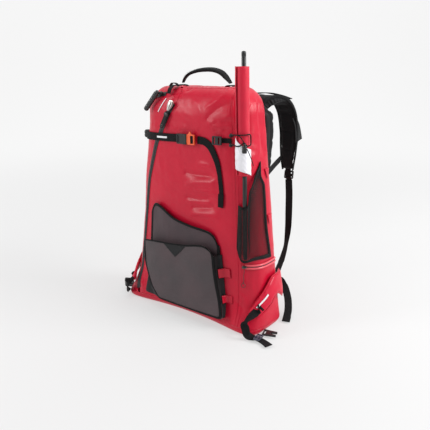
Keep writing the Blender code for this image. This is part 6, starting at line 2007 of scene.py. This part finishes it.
for side, flip in (("right", lambda p: np.array(p, float)), ("left", mirror_x)):
    keep = 1.0 if side == "right" else -1.0
    # binding along both edges of the shoulder pad
    for k, tag in ((-0.5, "inner"), (0.5, "outer")):
        edge = np.array([flip(p) + np.array([keep * w * k, 0, 0]) for p, w in zip(PAD_CENTRE, PAD_WIDTHS)])
        run = unit_rows(np.gradient(edge, axis=0))
        n = np.cross(run, [1.0, 0, 0])
        put("pad_binding_%s_%s" % (tag, side), swept("pad_binding_%s_%s" % (tag, side), edge, n, 0.0118, 0.0042, ROUND), BINDING, "bag", angle=0)
    high, high_face = along(WEB_LINE, WEB_FACE, 70)
    low, low_face = along(TAIL_LINE, TAIL_FACE, 60)
    web = [flip(p) for p in list(high) + [np.array(p) for p in LOCK_TURNS] + list(low)]
    face = np.array([flip(p) for p in list(high_face) + [np.array([1.0, 0, 0])] * len(LOCK_TURNS) + list(low_face)])
    wide = np.array([WEB_WIDTH] * 60 + [0.022] * (10 + len(LOCK_TURNS) + 12) + [WEB_WIDTH] * 48)
    web = np.array(web)
    face = unit_rows(face)
    smooth_face = face.copy()
    for _ in range(6):
        smooth_face[1:-1] = unit_rows(0.25 * smooth_face[:-2] + 0.5 * smooth_face[1:-1] + 0.25 * smooth_face[2:])
    put("harness_webbing_" + side, swept("harness_webbing_" + side, web, smooth_face, wide, 0.0019), WEBBING, "bag", ["shoulder_webbing_" + side])
    run = unit_rows(np.gradient(web, axis=0))
    n = np.cross(smooth_face, run)
    ends = web[-9:] + n[-9:] * 0.0021
    put("harness_tail_fold_" + side, swept("harness_tail_fold_" + side, ends, smooth_face[-9:], 0.0262, 0.0020), WEBBING, "bag")
    gap = np.array([flip(PAD_CENTRE[-1]) + [0, 0.001, 0.010], (flip(PAD_CENTRE[-1]) + flip(TAIL_FACE_START)) / 2, flip(TAIL_FACE_START)])
    put("pad_buckle_web_" + side, swept("pad_buckle_web_" + side, through(list(gap), 16), (1, 0, 0), 0.0220, 0.0018), WEBBING, "bag")
    lifter = rounded_line([flip(p) for p in ((0.086, 0.0850, 0.7060), (0.097, 0.112, 0.7140), (0.119, 0.168, 0.7185), (0.139, 0.222, 0.7100), (0.156, 0.268, 0.6960))], 60)
    put("lifter_webbing_" + side, swept("lifter_webbing_" + side, lifter, (1, 0, 0), 0.0245, 0.0024), WEBBING, "bag", ["load_lifter_" + side])
    stab = rounded_line([flip(p) for p in ((0.166, 0.1130, 0.462), (0.160, 0.150, 0.472), (0.148, 0.205, 0.484), (0.136, 0.2535, 0.491))], 50)
    put("stabiliser_webbing_" + side, swept("stabiliser_webbing_" + side, stab, (0.05 * keep, 0.1, 1.0), WEB_WIDTH, 0.0019), WEBBING, "bag", ["stabiliser_" + side])
    tab = rounded_line([flip(p) for p in ((0.192, 0.0860, 0.094), (0.195, 0.0990, 0.0945), (0.198, 0.1120, 0.0950), (0.1985, 0.1210, 0.0958))], 24)
    put("lower_tab_webbing_" + side, swept("lower_tab_webbing_" + side, tab, (1, 0, 0), 0.0240, 0.0019), WEBBING, "bag", ["lower_tab_" + side])
    # the loose end of the chest strap's keeper, on the pad's outer edge
    flap = [flip(p) for p in ((0.1780, 0.262, 0.635), (0.1860, 0.270, 0.610), (0.1890, 0.276, 0.580), (0.1885, 0.283, 0.556))]
    put("chest_keeper_" + side, swept("chest_keeper_" + side, through(flap, 30), (0.1 * keep, 1.0, 0.35), np.linspace(0.020, 0.040, 30), 0.0034), PAD_BACK, "bag")

web = [(0.2545, -0.1300, 0.0560), (0.2580, -0.1330, 0.036), (0.2620, -0.1290, 0.017), (0.2740, -0.1200, 0.0085), (0.2900, -0.1140, 0.0065), (0.318, -0.120, 0.0060), (0.340, -0.131, 0.0075)]
facing = [(0.62, 0.3, 0.7), (0.6, 0.6, 0.45), (0.4, 0.85, 0.2), (0.2, 0.95, 0.05), (0.2, 0.97, 0.0), (0.42, 0.9, 0.0), (0.45, 0.88, 0.1)]
web = [tuple(wing_point(0.80, 0.5, 0.0105, "right")), tuple(wing_point(0.92, 0.5, 0.0105, "right"))] + web
facing = [tuple(unit(np.array(wing_point(u, 0.1, 0.0, "right")) - np.array(wing_point(u, 0.9, 0.0, "right")))) for u in (0.80, 0.92)] + facing
facing = [tuple(np.array(f) * (1.0 if np.dot(f, facing[2]) >= 0 else -1.0)) for f in facing[:2]] + facing[2:]
line, face = along(web, facing, 90)
put("hip_belt_right", swept("hip_belt_right", line, np.array(face), WEB_WIDTH, 0.0020), WEBBING, "hip_wing_right", ["hip_webbing_right"])
web = [(-0.2545, -0.1300, 0.0560), (-0.2600, -0.1310, 0.040), (-0.2680, -0.1220, 0.0245), (-0.2800, -0.1080, 0.0150), (-0.2920, -0.0960, 0.0135)]
facing = [(0.62, -0.3, -0.7), (0.6, -0.6, -0.45), (0.6, -0.75, -0.2), (0.7, -0.72, -0.05), (0.75, -0.65, 0.0)]
web = [tuple(wing_point(0.80, 0.5, 0.0085, "left")), tuple(wing_point(0.92, 0.5, 0.0085, "left"))] + web
facing = [tuple(unit(np.array(wing_point(u, 0.1, 0.0, "left")) - np.array(wing_point(u, 0.9, 0.0, "left")))) for u in (0.80, 0.92)] + facing
facing = [tuple(np.array(f) * (1.0 if np.dot(f, facing[2]) >= 0 else -1.0)) for f in facing[:2]] + facing[2:]
line, face = along(web, facing, 70)
put("hip_belt_left", swept("hip_belt_left", line, np.array(face), WEB_WIDTH, 0.0020), WEBBING, "hip_wing_left", ["hip_webbing_left"])

# ---------------------------------------------------------------- floor, backdrop and light
def stage_sweep():
    """A pale floor that rises into a backdrop behind."""
    way = np.array([-math.sin(math.radians(37.287)), math.cos(math.radians(37.287)), 0])
    side = np.array([way[1], -way[0], 0])
    profile = [(-6.0, 0.0), (-2.0, 0.0), (0.0, 0.0), (2.6, 0.0), (3.2, 0.0)]
    profile += [(3.2 + 2.2 * math.sin(t), 2.2 - 2.2 * math.cos(t)) for t in np.linspace(0.1, math.pi / 2, 14)]
    profile += [(5.4, 8.0)]
    rows = [[way * d + side * w + np.array([0, 0, h - 0.0004]) for w in np.linspace(-9, 9, 5)] for d, h in profile]
    return net("studio_floor", rows, flip=True)


floor_look = Look("studio_floor", (0.30, 0.30, 0.30), 0.95, specular=0.0)
glow = floor_look.material.node_tree.nodes["Principled BSDF"] if "Principled BSDF" in floor_look.material.node_tree.nodes else [n for n in floor_look.material.node_tree.nodes if n.type == "BSDF_PRINCIPLED"][0]
glow.inputs["Emission Color"].default_value = (1.0, 1.0, 1.0, 1.0)
place = floor_look.tree.nodes.new("ShaderNodeNewGeometry")
far = floor_look.tree.nodes.new("ShaderNodeVectorMath")
far.operation = "LENGTH"
floor_look.tree.links.new(place.outputs["Position"], far.inputs[0])
even = floor_look.tree.nodes.new("ShaderNodeMapRange")
even.interpolation_type = "SMOOTHSTEP"
for socket, value in (("From Min", 0.4), ("From Max", 4.5), ("To Min", 0.515), ("To Max", 0.725)):
    even.inputs[socket].default_value = value
floor_look.tree.links.new(far.outputs["Value"], even.inputs["Value"])
floor_look.tree.links.new(even.outputs["Result"], glow.inputs["Emission Strength"])
floor = bpy.data.objects.new("studio_floor", stage_sweep())
scene.collection.objects.link(floor)
floor.data.materials.append(floor_look.material)
floor.data.shade_smooth()

world = bpy.data.worlds.new("studio")
scene.world = world
world.use_nodes = True
world.node_tree.nodes["Background"].inputs["Color"].default_value = (1.0, 1.0, 1.0, 1)
world.node_tree.nodes["Background"].inputs["Strength"].default_value = 0.40


def area_light(name, place, aim, size, power, colour=(1, 1, 1)):
    data = bpy.data.lights.new(name, "AREA")
    data.shape = "RECTANGLE"
    data.size, data.size_y = size
    data.energy = power
    data.color = colour
    made = bpy.data.objects.new(name, data)
    scene.collection.objects.link(made)
    made.location = place
    made.rotation_euler = (Vector(aim) - Vector(place)).to_track_quat("-Z", "Y").to_euler()
    return made


area_light("key_right", (2.4, 0.9, 1.85), (0.1, 0.0, 0.30), (1.5, 1.5), 76)
area_light("top_soft", (-0.1, 0.3, 3.0), (0.0, 0.0, 0.3), (2.4, 2.4), 30)
area_light("front_left", (-1.7, -2.2, 1.7), (0.0, 0.0, 0.40), (0.8, 1.5), 36)

scene.view_settings.view_transform = "Standard"
scene.view_settings.look = "None"
